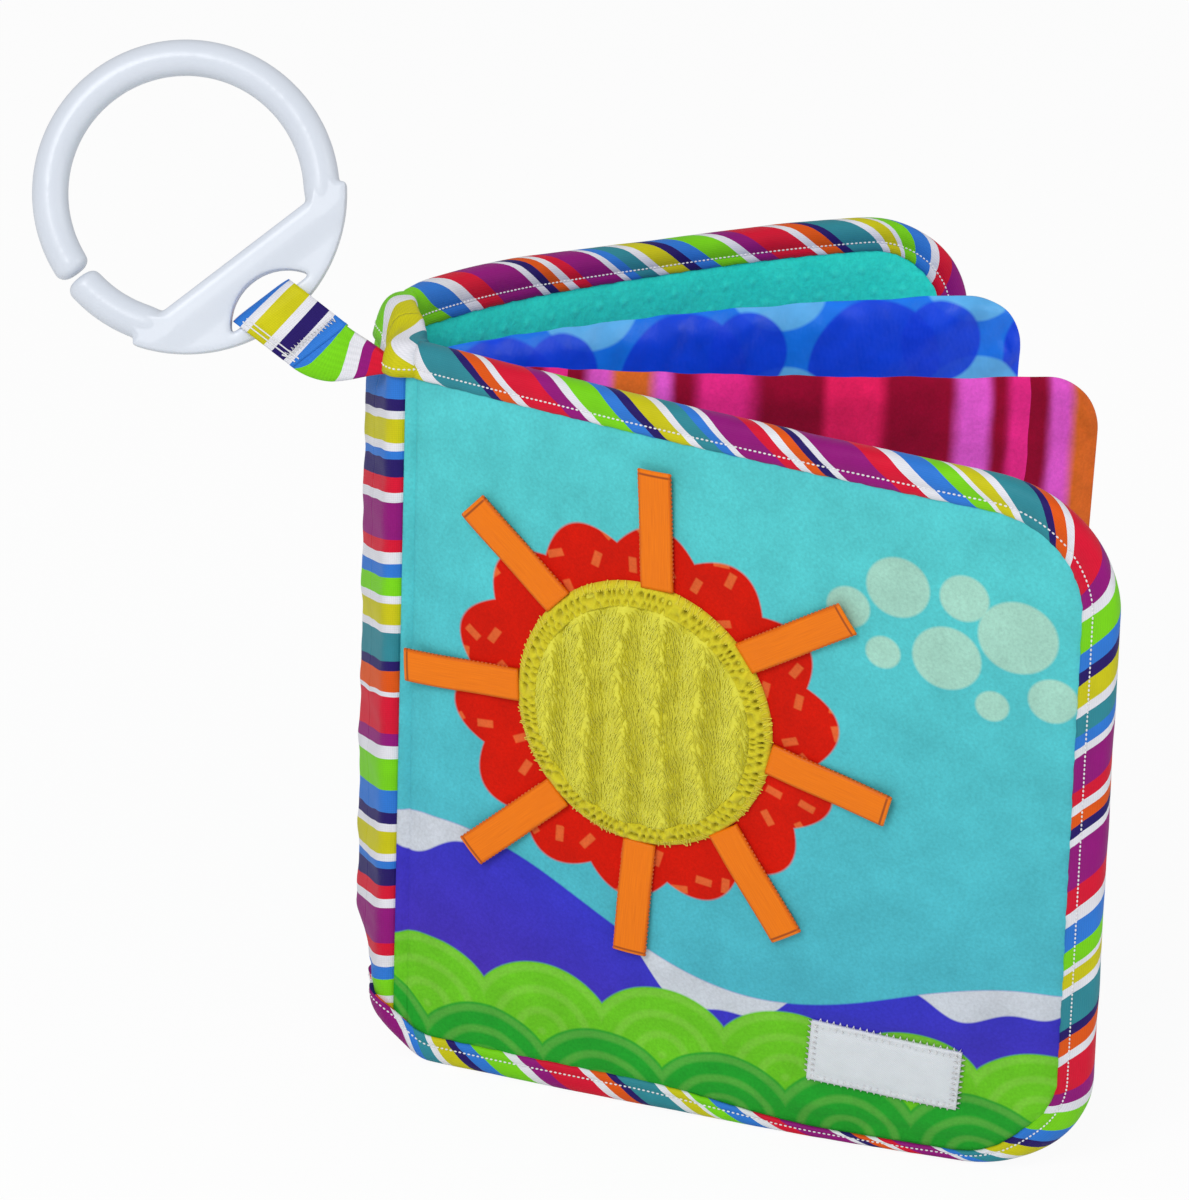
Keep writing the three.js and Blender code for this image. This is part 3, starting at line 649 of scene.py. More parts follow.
def cotton(shade, along, across, base):
    """Woven cotton: fine threads both ways, slightly uneven."""
    threads = (along * 14.0).sine() * 0.5 + (across * 14.0).sine() * 0.5
    uneven = shade.noise(shade.place(), 900.0, 2.0)
    faint = shade.varied(base, 0.12, 160.0)
    shade.set("Base Color", shade.multiplied(faint, shade.greys((threads + 1) / 2, 0.0, 1.0, 0.86)))
    soft = shade.bump(uneven, 0.25, 0.25 * MM)
    shade.set("Normal", shade.bump(threads, 0.25, 0.08 * MM, soft))


def velour(shade, base, nap=0.22):
    """Short velvety pile: soft patches where the nap lies over, and a fine grain."""
    place = shade.place()
    lay = shade.noise(place, 95.0, 4.0, 0.6)
    grain = shade.noise(place, 1500.0, 2.0, 0.6)
    lit = shade.multiplied(base, shade.greys(lay, 0.3, 0.68, 1 - nap))
    shade.set("Base Color", shade.multiplied(lit, shade.greys(grain, 0.25, 0.7, 0.84)))
    coarse = shade.bump(lay, 0.35, 0.5 * MM)
    shade.set("Normal", shade.bump(grain, 0.5, 0.15 * MM, coarse))


def binding_material(colours, sizes):
    shade = Shade("binding_tape", **WOVEN)
    along, across = shade.cloth_places()
    sway = shade.noise(shade.pair(along, across), 0.08, 1.0) * 1.6
    cotton(shade, along, across, shade.stripes(along + sway, BINDING_STRIPES))
    return shade.material


def spine_material(colours, sizes):
    shade = Shade("spine_cotton", **WOVEN)
    along, across = shade.cloth_places()
    sway = shade.noise(shade.pair(along, across), 0.1, 1.0) * 1.2
    cotton(shade, along, across, shade.stripes(across * -1.0 + sway + 255.9, SPINE_STRIPES))
    return shade.material


def cover_material(colours, sizes):
    """The printed front: petals round the disc, a wavy band with a pale crest, scallops and dots."""
    shade = Shade("cover_print", Sheen_Weight=0.06, **VELVETY)
    along, up = shade.cloth_places()
    ground = shade.mix(tuple(colours.ground_low), tuple(colours.ground), ((up - 30) / 110).clipped())

    wave = (along * 0.052 + 0.6).sine() * 7.5 + (along * 0.021 + 2.2).sine() * 9
    band_top = 48 + wave
    in_band = (band_top - up).edge(0.5)
    band_colour = shade.mix(tuple(colours.band), tuple(colours.band_low), ((band_top - up) / 34).clipped())
    print_colour = shade.mix(ground, band_colour, in_band)
    crest_depth = (along * 0.098 + 0.9).sine() * 6.2 + (along * 0.31).sine() * 1.6 + 1.8
    in_crest = (up - band_top + crest_depth).edge(0.5) * in_band
    print_colour = shade.mix(print_colour, tuple(colours.crest), in_crest)

    pitch, radius = 27.0, 17.0
    for centre, shift, green in ((15.0, 4.0, colours.scallop_back), (1.5, 17.5, colours.scallop_front)):
        beside = (along + shift) % pitch - pitch / 2
        height = up - centre
        from_middle = from_point(beside, height)
        inside = (radius - from_middle).edge(0.5)
        ring_line = (abs(from_middle % 5.2 - 2.6) - 1.7).edge(0.8) * 0.16
        scallop = shade.mix(tuple(green), tuple(colours.scallop_line), ring_line)
        print_colour = shade.mix(print_colour, scallop, inside.most((centre - up).edge(0.5)))

    for centre_along, centre_up, dot in ((101, 131, 4.5), (111, 137.5, 6.5), (124.5, 138, 5),
                                         (135.5, 131.5, 8), (143, 118.5, 5), (121.5, 124, 7),
                                         (108.5, 122.5, 3.6), (131, 115, 3.4)):
        beside, height = along - centre_along, up - centre_up
        inside = (dot - from_point(beside, height)).edge(0.6)
        print_colour = shade.mix(print_colour, tuple(colours.dots), inside * 0.92)

    beside, height = along - DISC_ALONG * 1000, up - DISC_UP * 1000
    from_middle = from_point(beside, height)
    bearing = height.sum("ARCTAN2", beside)
    lobes = abs((bearing * (sizes.petals / 2) + 0.4).sine())
    petal_edge = sizes.rosette * 1000 - 4.2 + lobes * 4.6
    in_petals = (petal_edge - from_middle).edge(0.6)
    cells = {"Vector": shade.pair(along, up), "Scale": 1 / 7.4, "Randomness": 0.75}
    cell, pick = (shade.node("ShaderNodeTexVoronoi", {"voronoi_dimensions": "2D"}, cells, output)
                  for output in ("Position", "Color"))
    cell_along, cell_up, _ = shade.split(cell)
    tumble, kept, _ = shade.split(pick)
    east, north = along - cell_along, up - cell_up
    cosine, sine = (tumble * math.pi).cosine(), (tumble * math.pi).sine()
    lengthways = abs(east * cosine + north * sine)
    crossways = abs(north * cosine - east * sine)
    dash = (1.75 - lengthways).edge(0.35) * (0.85 - crossways).edge(0.35) * (kept > 0.18)
    petal_colour = shade.mix(tuple(colours.rosette), tuple(colours.dashes), dash * 0.85)
    print_colour = shade.mix(print_colour, petal_colour, in_petals)
    velour(shade, print_colour, 0.16)
    return shade.material


def back_material(colours, sizes):
    shade = Shade("back_print", Sheen_Weight=0.06, **VELVETY)
    along, up = shade.cloth_places()
    ground = shade.mix(tuple(colours.ground_low), tuple(colours.ground), ((up - 30) / 110).clipped())
    row = (up / 19).floor()
    beside = (along + row % 2.0 * 11) % 22.0 - 11
    height = up % 19.0 - 9.5
    inside = (4.4 - from_point(beside, height)).edge(0.6)
    velour(shade, shade.mix(ground, tuple(colours.dots), inside * 0.85), 0.16)
    return shade.material


def lining_material(colours, sizes):
    """Teal pile pressed with soft staggered dots."""
    shade = Shade("lining_pile", Sheen_Weight=0.1, **VELVETY)
    along, up = shade.cloth_places()
    row = (up / 5.2).floor()
    beside = (along + row % 2.0 * 3.3) % 6.6 - 3.3
    height = up % 5.2 - 2.6
    from_middle = from_point(beside, height)
    dot = ((from_middle * 1.9).cosine() * 0.5 + 0.5) * (1.15 - from_middle / 3.4).clipped()
    place = shade.place()
    fuzz = shade.noise(place, 1100.0, 3.0, 0.65)
    lay = shade.noise(place, 120.0, 3.0)
    base = shade.mix(tuple(colours.lining_low), tuple(colours.lining), (dot * 0.35 + lay * 0.8).clipped())
    shade.set("Base Color", shade.multiplied(base, shade.greys(fuzz, 0.25, 0.7, 0.8)))
    raised = shade.bump(dot, 0.4, 0.5 * MM)
    shade.set("Normal", shade.bump(fuzz, 0.6, 0.25 * MM, raised))
    return shade.material


def satin_material(colours, sizes):
    """Glossy blue satin with large overlapping dots in three blues."""
    shade = Shade("leaf_satin", Roughness=0.3, Specular_IOR_Level=0.3)
    along, up = shade.cloth_places()
    layer = tuple(colours.satin)
    for shift_along, shift_up, radius, dot in (
            (4, 6, 15, colours.satin_middle), (25, 17, 12.5, colours.satin_light),
            (33, 1, 9, colours.satin_middle)):
        beside = (along + shift_along) % 44.0 - 22
        height = (up + shift_up) % 33.0 - 16.5
        inside = (radius - from_point(beside, height)).edge(0.7)
        layer = shade.mix(layer, tuple(dot), inside * 0.93)
    place = shade.place()
    crumple = shade.noise(place, 130.0, 3.0, 0.55)
    threads = (along * 22.0).sine()
    # Painted shade: the colour darkens where the crumple noise is low, the same noise that lowers the bump,
    # so the hollows of the crumples look shaded
    shade.set("Base Color", shade.multiplied(layer, shade.greys(crumple, 0.3, 0.7, 0.8)))
    shade.set("Roughness", 0.24 + crumple * 0.16)
    soft = shade.bump(crumple, 0.3, 1.2 * MM)
    shade.set("Normal", shade.bump(threads, 0.12, 0.05 * MM, soft))
    return shade.material


def pink_material(colours, sizes):
    """Pink velour with soft upright stripes of several widths."""
    shade = Shade("leaf_velour", Sheen_Weight=0.08, **VELVETY)
    along, up = shade.cloth_places()
    fuzzy = shade.noise(shade.pair(along, up * 0.25), 0.35, 2.0) * 1.2
    place = (along + fuzzy + 66.0) % 96.0 / 96.0
    bands = ((0.0, 0.03, colours.crimson), (0.06, 0.08, colours.violet), (0.11, 0.17, colours.tangerine),
             (0.2, 0.21, colours.violet), (0.24, 0.26, colours.crimson), (0.3, 0.37, colours.pink),
             (0.43, 0.54, colours.crimson), (0.57, 0.66, colours.rose), (0.7, 0.82, colours.crimson),
             (0.86, 0.9, colours.violet), (0.93, 0.94, colours.crimson), (0.97, 0.99, colours.pink))
    stops = [(edge, tuple(band_tint)) for first, last, band_tint in bands for edge in (first, last)]
    ramp = shade.node("ShaderNodeValToRGB", {"stops": stops, "interpolation": "EASE"}, {0: place})
    velour(shade, ramp, 0.3)
    return shade.material


def plush_material(colours, sizes):
    shade = Shade("plush_pile", Roughness=0.85, Specular_IOR_Level=0.2, Sheen_Weight=0.12,
                  Sheen_Roughness=0.4)
    _, furrow = shade.cloth_places()
    strand = shade.noise(shade.place(), 900.0, 3.0, 0.6)
    clump = shade.noise(shade.place(), 260.0, 2.0)
    # Painted shade: the plush goes towards its shaded yellow deeper in the furrows between the ribs, with
    # uneven tone from the two noises
    lit = strand * 0.5 + clump * 0.5 + 0.3 - furrow * furrow * 0.75
    shade.set("Base Color", shade.mix(tuple(colours.plush_shaded), tuple(colours.plush), lit.clipped()))
    shade.set("Normal", shade.bump(strand, 0.4, 0.3 * MM))
    return shade.material


def overlock_material(colours, sizes):
    """Thick yellow thread laid side by side over an edge, with painted shade in its needle holes."""
    shade = Shade("overlock_loops", Roughness=0.75, Specular_IOR_Level=0.25, Sheen_Weight=0.08)
    phase, depth = shade.cloth_places()
    strand = shade.noise(shade.pair(phase * 5.0, depth * 0.7), 1.0, 2.0)
    # Darker streaks across the threads, towards the plush's shaded yellow: partly painted shade between the
    # threads and partly uneven tone
    lit = shade.mix(tuple(colours.plush_shaded), tuple(colours.overlock), (strand * 1.3 - 0.1).clipped())
    # Painted shade in the needle holes
    holes = needle_holes(phase, depth).clipped()
    shade.set("Base Color", shade.mix(lit, tuple(colours.needle_holes), holes * 0.5))
    shade.set("Normal", shade.bump(strand, 0.6, 0.25 * MM))
    return shade.material


def ribbon_material(colours, sizes):
    """Orange satin ribbon with a painted shadow line near its folded end."""
    shade = Shade("ribbon_weave", Roughness=0.36, Specular_IOR_Level=0.22)
    along, across = shade.cloth_places()
    threads = (along * 20.0).sine()
    streak = shade.noise(shade.pair(along * 0.15, across * 5.0), 1.0, 2.0)
    base = shade.mix(tuple(colours.ribbon_low), tuple(colours.ribbon), (streak * 0.9 + 0.25).clipped())
    # Painted shadow: a dark line across the ribbon where its fold would cast a shadow
    line = (0.22 - abs(along - 25.1)).edge(0.25)
    base = shade.mix(base, tuple(colours.ribbon_fold_shadow), line * 0.75)
    hem = (0.35 - (3.5 - abs(across))).edge(0.25)
    shade.set("Base Color", shade.mix(base, tuple(colours.ribbon_low), hem * 0.6))
    shade.set("Roughness", 0.32 + streak * 0.22)
    shade.set("Normal", shade.bump(threads, 0.15, 0.06 * MM))
    return shade.material


def label_material(colours, sizes):
    shade = Shade("label_weave", Roughness=0.6, Sheen_Weight=0.1)
    along, across = shade.cloth_places()
    weave = (along * 12.0).sine() * (across * 12.0).sine()
    ground = shade.varied(tuple(colours.label), 0.06, 300.0)
    shade.set("Base Color", shade.multiplied(ground, shade.greys((weave + 1) / 2, 0.0, 1.0, 0.9)))
    shade.set("Normal", shade.bump(weave, 0.35, 0.1 * MM))
    return shade.material


def plastic_material(colours, sizes):
    shade = Shade("ring_plastic", Roughness=0.32, Coat_Weight=0.12, Coat_Roughness=0.25)
    cloud = shade.noise(shade.place(), 60.0, 2.0)
    grain = shade.noise(shade.place(), 1400.0, 2.0)
    shade.set("Base Color", shade.mix(tuple(colours.plastic_low), tuple(colours.plastic), cloud))
    shade.set("Roughness", 0.3 + grain * 0.12)
    shade.set("Normal", shade.bump(grain, 0.08, 0.05 * MM))
    return shade.material


def thread_material(name, thread_colour):
    shade = Shade(name, Roughness=0.6, Sheen_Weight=0.2)
    twist = shade.noise(shade.place(), 2600.0, 1.0)
    shade.set("Base Color", shade.multiplied(thread_colour, shade.greys(twist, 0.3, 0.65, 0.8)))
    shade.set("Normal", shade.bump(twist, 0.5, 0.08 * MM))
    return shade.material


def material_named(name, maker, *given):
    """The material of that name, made the first time that it is asked for."""
    return bpy.data.materials.get(name) or maker(*given)


def thread_named(name, thread_colour):
    return material_named(name, thread_material, name, tuple(thread_colour))


# Settings


def tint(label, description, value):
    return bpy.props.FloatVectorProperty(name=label, description=description, size=3, subtype="COLOR",
                                         min=0, max=1, default=value)


def length(label, description, value):
    return bpy.props.FloatProperty(name=label, description=description, default=value, min=0,
                                   subtype="DISTANCE", unit="LENGTH", precision=5)


class BookColours(bpy.types.PropertyGroup):
    ground: tint("Ground", "Upper ground of the printed cover", colour(90, 210, 214))
    ground_low: tint("Ground, lower", "Lower ground of the printed cover", colour(80, 188, 208))
    rosette: tint("Rosette", "Petals round the disc", colour(220, 22, 0))
    dashes: tint("Dashes", "Small dashes on the petals", colour(240, 112, 56))
    band: tint("Band", "Upper part of the wavy band", colour(58, 58, 206))
    band_low: tint("Band, lower", "Lower part of the wavy band", colour(76, 52, 190))
    crest: tint("Crest", "Pale crest of the wavy band", colour(214, 220, 230))
    scallop_back: tint("Scallops, back row", "Second row of scallops", colour(112, 206, 36))
    scallop_front: tint("Scallops, front row", "First row of scallops", colour(36, 168, 46))
    scallop_line: tint("Scallop lines", "Faint rings in the scallops", colour(190, 226, 120))
    dots: tint("Dots", "Pale dots of the print", colour(176, 224, 204))
    lining: tint("Lining", "Pile lining, raised parts", colour(62, 244, 222))
    lining_low: tint("Lining, low parts", "Pile lining, pressed parts", colour(32, 218, 202))
    satin: tint("Satin", "Ground of the satin leaf", colour(10, 124, 250))
    satin_middle: tint("Satin, middle blue", "First dots of the satin leaf", colour(0, 66, 238))
    satin_light: tint("Satin, light blue", "Second dots of the satin leaf", colour(98, 190, 252))
    pink: tint("Pink", "Main stripe of the velour leaf", colour(255, 44, 146))
    rose: tint("Rose", "Second stripe of the velour leaf", colour(252, 30, 100))
    crimson: tint("Crimson", "Dark stripe of the velour leaf", colour(160, 0, 48))
    violet: tint("Violet", "Violet stripe of the velour leaf", colour(250, 96, 222))
    tangerine: tint("Tangerine", "Orange stripe of the velour leaf", colour(238, 112, 40))
    # The plush's lit yellow on its ridges, and its shaded yellow, painted shade, in its furrows
    plush: tint("Plush", "Tips of the plush", colour(228, 224, 80))
    plush_shaded: tint("Plush, low", "Roots of the plush", colour(188, 180, 28))
    overlock: tint("Overlock", "Thread round the plush disc", colour(224, 212, 40))
    # Painted shade in the needle holes of the disc's edge
    needle_holes: tint("Needle holes", "Dark holes in the disc's edge", colour(120, 104, 8))
    ribbon: tint("Ribbon", "Satin ribbon tabs", colour(244, 128, 0))
    ribbon_low: tint("Ribbon, low", "Shaded threads of the ribbon", colour(214, 94, 0))
    # Painted shadow of the ribbon's fold, drawn as a dark line
    ribbon_fold_shadow: tint("Ribbon line", "Pressed line at the ribbon's fold", colour(120, 44, 24))
    label: tint("Label", "Woven label", colour(226, 230, 236))
    plastic: tint("Plastic", "Link ring", colour(213, 219, 229))
    plastic_low: tint("Plastic, low", "Link ring, darker clouds", colour(205, 212, 223))
    thread: tint("Topstitch", "Thread of the topstitches", colour(238, 238, 240))


class BookSizes(bpy.types.PropertyGroup):
    stitch_pitch: length("Stitch pitch", "From one topstitch to the next", 1.05 * MM)
    stitch_length: length("Stitch length", "Length of one topstitch", 0.7 * MM)
    stitch_width: length("Stitch width", "Thickness of the topstitch thread", 0.38 * MM)
    puff: length("Spine puff", "How far the spine's cloth swells between its tucks", 0.6 * MM)
    wrinkle: length("Wrinkle", "Height of the wrinkles that start at the binding", 0.42 * MM)
    rosette: length("Rosette radius", "From the disc's middle to a petal's tip", 42.5 * MM)
    rib_pitch: length("Plush rib pitch", "From one rib of the plush to the next", 8.6 * MM)
    strand_length: length("Plush strand", "Length of one strand of the plush", 4.2 * MM)
    petals: bpy.props.IntProperty(name="Petals", description="Petals of the rosette", default=14, min=3)
    tape_slant: bpy.props.FloatProperty(name="Tape slant", description="Slant of the stripes on the binding",
                                        default=1.25)


# Covers and leaves


def panel_grid(panel, steps, rows):
    """Places over a panel out to its outline, closer together at its rounded corners."""
    radius = panel.corner - panel.inset
    flat_end = panel.width - panel.corner
    columns = np.concatenate([np.linspace(panel.start, flat_end, steps, endpoint=False),
                              flat_end + radius * np.sin(np.linspace(0, math.pi / 2, 15))])
    low, high = panel.reach(columns, panel.inset)
    rise = np.linspace(0, 1, rows)
    up = low[:, None] + (high - low)[:, None] * rise[None, :]
    along = np.repeat(columns[:, None], rows, 1)
    return along, up


def wrinkles(panel, along, up, height, seed):
    """Wrinkles that start at the binding and fade towards the middle."""
    far = panel.rim_distance(along, up)
    round_place = panel.rim_place(along, up)
    near = wander(round_place, 15 * MM, seed) * np.exp(-np.abs(far - 9 * MM) / (7 * MM))
    wide = wander(round_place, 34 * MM, seed + 3) * np.exp(-np.abs(far - 16 * MM) / (16 * MM))
    slow = wander(along + 0.4 * up, 63 * MM, seed + 5) * wander(up - 0.3 * along, 71 * MM, seed + 8)
    return height * (0.75 * near + 0.7 * wide + 0.9 * slow)


def kept_flat(along, up):
    """Nought under the disc and the label, which are sewn down, and one elsewhere."""
    disc = np.hypot((along - DISC_ALONG) / DISC_HALF_WIDTH, (up - DISC_UP) / DISC_HALF_HEIGHT)
    label = np.maximum(np.abs(along - LABEL_ALONG) / LABEL_SIZE[0], np.abs(up - LABEL_UP) / LABEL_SIZE[1]) * 2
    return smooth_step(1.02, 1.4, disc) * smooth_step(1.05, 1.5, label)


def cover_side(name, panel, outward, material, body, nodes, seed, wrinkle):
    """One side of a padded cover, from its middle to its cloth."""
    along, up = panel_grid(panel, 54, 72)
    surface = panel.surface(along, up)
    crease = wrinkles(panel, along, up, wrinkle, seed)
    loose = smooth_step(5 * MM, 11 * MM, panel.rim_distance(along, up))
    crease = crease * loose * smooth_step(4 * MM, 12 * MM, along)
    if name == "front_cover_face":
        crease = crease * kept_flat(along, up)
    top = panel.point(along, up, outward * (surface + crease))
    under = panel.point(along, up, outward * 0.12 * MM)
    cloth = np.stack([along, up], -1)
    points, faces, corners = slab(top, under, cloth)
    held = np.ones(len(points), bool)
    free = (panel.rim_distance(along, up) > 6 * MM) & (along > panel.start + 3 * MM)
    held[:along.size] = ~free.ravel()
    settled = settle(points, faces, held, 3.0, 0.012, 0.9 * MM)
    if name == "front_cover_face":
        share = np.concatenate([kept_flat(along, up).ravel(), np.ones(along.size)])[:, None]
        settled = points + (settled - points) * share
    piece = finer(make_piece(name, (lifted(settled), faces, corners), material))
    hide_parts(*nodes)
    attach(piece, body)
    return piece


def make_covers(colours, sizes):
    lining = material_named("lining_pile", lining_material, colours, sizes)
    face = material_named("cover_print", cover_material, colours, sizes)
    plain = material_named("back_print", back_material, colours, sizes)
    cover_side("front_cover_face", front, 1, face, "front_cover",
               ("front_cover_face", "front_cover_padding"), 1, sizes.wrinkle)
    cover_side("front_cover_lining", front, -1, lining, "front_cover",
               ("front_cover_lining",), 2, sizes.wrinkle)
    cover_side("back_cover_face", back, 1, plain, "back_cover",
               ("back_cover_face", "back_cover_padding"), 3, sizes.wrinkle)
    cover_side("back_cover_lining", back, -1, lining, "back_cover",
               ("back_cover_lining",), 4, sizes.wrinkle)


def make_leaf(name, panel, material, seed, pucker):
    """A turned-out leaf: two cloths sewn edge to edge over padding."""
    along, up = panel_grid(panel, 56, 72)
    far = panel.rim_distance(along, up)
    roll = np.sqrt(np.clip(1 - (1 - np.clip(far / (2.6 * MM), 0, 1)) ** 2, 0, 1))
    seam_half = 0.12 * MM
    surface = seam_half + (panel.surface(along, up) - seam_half) * roll
    place = panel.rim_place(along, up)
    gather = (wander(place, 9 * MM, seed) * np.exp(-far / (5 * MM))
              + 0.9 * wander(place, 17 * MM, seed + 2) * np.exp(-far / (12 * MM)))
    gather = gather * (0.5 + 0.5 * smooth_step(20 * MM, 70 * MM, along))
    gather_under = wander(place, 10 * MM, seed + 7) * np.exp(-far / (5 * MM))
    drawn = 0.35 * MM * wander(place, 17 * MM, seed + 4) * (1 - roll)
    open_seam = smooth_step(0, 6 * MM, along)
    top = panel.point(along, up + drawn, surface + pucker * gather * roll * open_seam)
    under = panel.point(along, up + drawn, -surface - 0.35 * pucker * gather_under * roll * open_seam)
    cloth = np.stack([along, up], -1)
    points, faces, corners = slab(top, under, cloth)
    free = ((far > 1.2 * MM) & (along > 2 * MM)).ravel()
    held = ~np.concatenate([free, free])
    settled = settle(points, faces, held, 3.5, 0.02, 0.9 * MM)
    piece = finer(make_piece(name, (settled, faces, corners), material))
    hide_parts(name + "_front", name + "_padding", name + "_back")
    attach(piece, name)
    return piece


def make_leaves(colours, sizes):
    pink = material_named("leaf_velour", pink_material, colours, sizes)
    blue = material_named("leaf_satin", satin_material, colours, sizes)
    make_leaf("leaf_1", leaf_one, pink, 11, 0.2 * MM)
    make_leaf("leaf_2", leaf_two, blue, 12, 1.15 * MM)


# Binding

# How far in from the tape's folded edge, and how far out from the cover's middle, in millimetres
TAPE_SIDE = [(7.05, 2.15), (7.1, 2.6), (6.8, 2.95), (6.0, 3.15), (5.3, 3.05), (4.9, 2.86), (4.5, 3.05),
             (3.6, 3.22), (2.6, 3.2), (1.6, 2.95), (0.8, 2.4), (0.3, 1.7), (0.06, 0.85), (0.0, 0.0)]


def tape_section():
    outer = TAPE_SIDE + [(inset, -out) for inset, out in TAPE_SIDE[-2::-1]]
    inner = [(6.0, -2.1), (3.0, -2.15), (1.0, -1.6), (0.8, 0.0), (1.0, 1.6), (3.0, 2.15), (6.0, 2.1)]
    return np.array(outer + inner) * MM


def tape_cloth(section):
    """How far across the tape each point of its section is, from nought at the folded edge."""
    step = np.linalg.norm(np.diff(np.vstack([section, section[:1]]), axis=0), axis=1)
    run = np.concatenate([[0], np.cumsum(step)])
    middle = run[len(TAPE_SIDE) - 1]
    return middle - run


def rim_stations(panel, spacing):
    """Places round a cover's outline from the fold along its top, down its free edge and back."""
    radius, top, flat_end = panel.corner, panel.foot + panel.height, panel.width - panel.corner
    quarter = math.pi / 2
    run = flat_end - panel.start
    rows = []
    for share in np.linspace(0, 1, int(run / spacing), endpoint=False):
        rows.append((panel.start + run * share, top, 0, 1))
    for centre, turned in ((top - radius, 0.0), (None, 0.0), (panel.foot + radius, quarter)):
        if centre is None:
            for share in np.linspace(0, 1, int((panel.height - 2 * radius) / spacing))[1:-1]:
                rows.append((panel.width, top - radius - (panel.height - 2 * radius) * share, 1, 0))
            continue
        for share in np.linspace(0, 1, int(radius * quarter / spacing)):
            angle = turned + quarter * share
            rows.append((flat_end + radius * math.sin(angle), centre + radius * math.cos(angle),
                         math.sin(angle), math.cos(angle)))
    for share in np.linspace(0, 1, int(run / spacing))[1:]:
        rows.append((flat_end - run * share, panel.foot, 0, -1))
    return np.array(rows)


def rim_lengths(panel, stations):
    line = panel.point(stations[:, 0], stations[:, 1], 0)
    return np.concatenate([[0], np.cumsum(np.linalg.norm(np.diff(line, axis=0), axis=1))])


def hem(panel, stations):
    """How wide the tape shows: the front cover's padding hangs over it along part of the foot."""
    if panel is not front:
        return np.ones(len(stations))
    place = stations[:, 0]
    covered = smooth_step(55 * MM, 100 * MM, place) * (1 - smooth_step(126 * MM, 150 * MM, place))
    return 1 - (0.03 + 0.57 * covered) * (stations[:, 3] < -0.5) * smooth_step(0.5, 0.95, -stations[:, 3])


def make_binding(name, panel, body, material, thread, sizes, seed, run_start, run_sign):
    stations = rim_stations(panel, RIM_SPACING)
    run = rim_lengths(panel, stations)
    section = tape_section()
    across = tape_cloth(section)
    inset = np.repeat(section[None, :, 0], len(stations), 0)
    out = np.repeat(section[None, :, 1], len(stations), 0)
    wave = wander(run, 11 * MM, seed)[:, None]
    slow = wander(run, 37 * MM, seed + 1)[:, None]
    body_share = np.clip(1 - np.abs(inset - 3 * MM) / (3 * MM), 0, 1)
    out = out * (1 + 0.045 * wave * body_share + 0.03 * slow)
    ripple = wander(run, 6 * MM, seed + 2)[:, None]
    inset = (inset + 0.12 * MM * slow * (np.abs(section[None, :, 1]) < 2.5 * MM)
             + 0.13 * MM * ripple * (inset > 6 * MM))
    inset = inset * hem(panel, stations)[:, None]
    along = stations[:, 0:1] - inset * stations[:, 2:3]
    up = stations[:, 1:2] - inset * stations[:, 3:4]
    points = lifted(panel.point(along, up, out))
    from_end = np.minimum(run, run[-1] - run)[:, None]
    slant = (sizes.tape_slant * (1 - 0.12 * stations[:, 2:3] ** 2)
             * (0.45 + 0.55 * smooth_step(0, 15 * MM, from_end)))
    lengthways = run_start + run_sign * run[:, None] - slant * across[None, :]
    cloth = np.stack([lengthways, np.repeat(across[None, :], len(run), 0)], -1)
    piece = make_piece(name, band(points, cloth, around=True, caps=True), material)
    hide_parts(name)
    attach(piece, body)
    lines = []
    for side in (1, -1):
        line_inset = STITCH_INSET * hem(panel, stations)
        lines.append(lifted(panel.point(stations[:, 0] - line_inset * stations[:, 2],
                                        stations[:, 1] - line_inset * stations[:, 3],
                                        side * (2.98 * MM + 0.1 * MM * slow[:, 0]))))
    stitches = along_lines(name.replace("binding", "topstitch"), lines, stitch_tree(), thread,
                           Pitch=sizes.stitch_pitch, Length=sizes.stitch_length, Width=sizes.stitch_width)
    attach(stitches, body)


def make_bindings(colours, sizes):
    tape = material_named("binding_tape", binding_material, colours, sizes)
    thread = thread_named("topstitch_thread", colours.thread)
    make_binding("front_cover_binding", front, "front_cover", tape, thread, sizes, 21, 0.0, 1)
    make_binding("back_cover_binding", back, "back_cover", tape, thread, sizes, 22, -2 * HOOD_RUN, -1)


# Spine


def round_fold(panel, radius, from_x, end_out, end_along, side):
    """A line on the floor from the spine's middle round a fold to a cover, outside or inside."""
    hinge, ahead, outward = panel.hinge, panel.ahead, panel.outward
    start = np.array([from_x, 0.0])
    level = np.array([from_x, hinge[1] * 0.55])
    end = hinge + ahead * end_along + outward * end_out
    if side > 0:
        first = math.atan2(0, -1)
        last = math.atan2(outward[1], outward[0])
        turned = (last - first + math.pi) % (2 * math.pi) - math.pi
        arc = [hinge + radius * np.array([math.cos(first + turned * t), math.sin(first + turned * t)])
               for t in (0.1, 0.4, 0.7, 1.0)]
        near = hinge + ahead * end_along * 0.6 + outward * (end_out * 0.6 + radius * 0.4)
        return bezier([start, level * [1, 0.5], level, *arc, near, end], 8)
    return bezier([start, level * [1, 0.6], level, (level + end) / 2 + np.array([-0.4 * MM, 0]), end], 10)


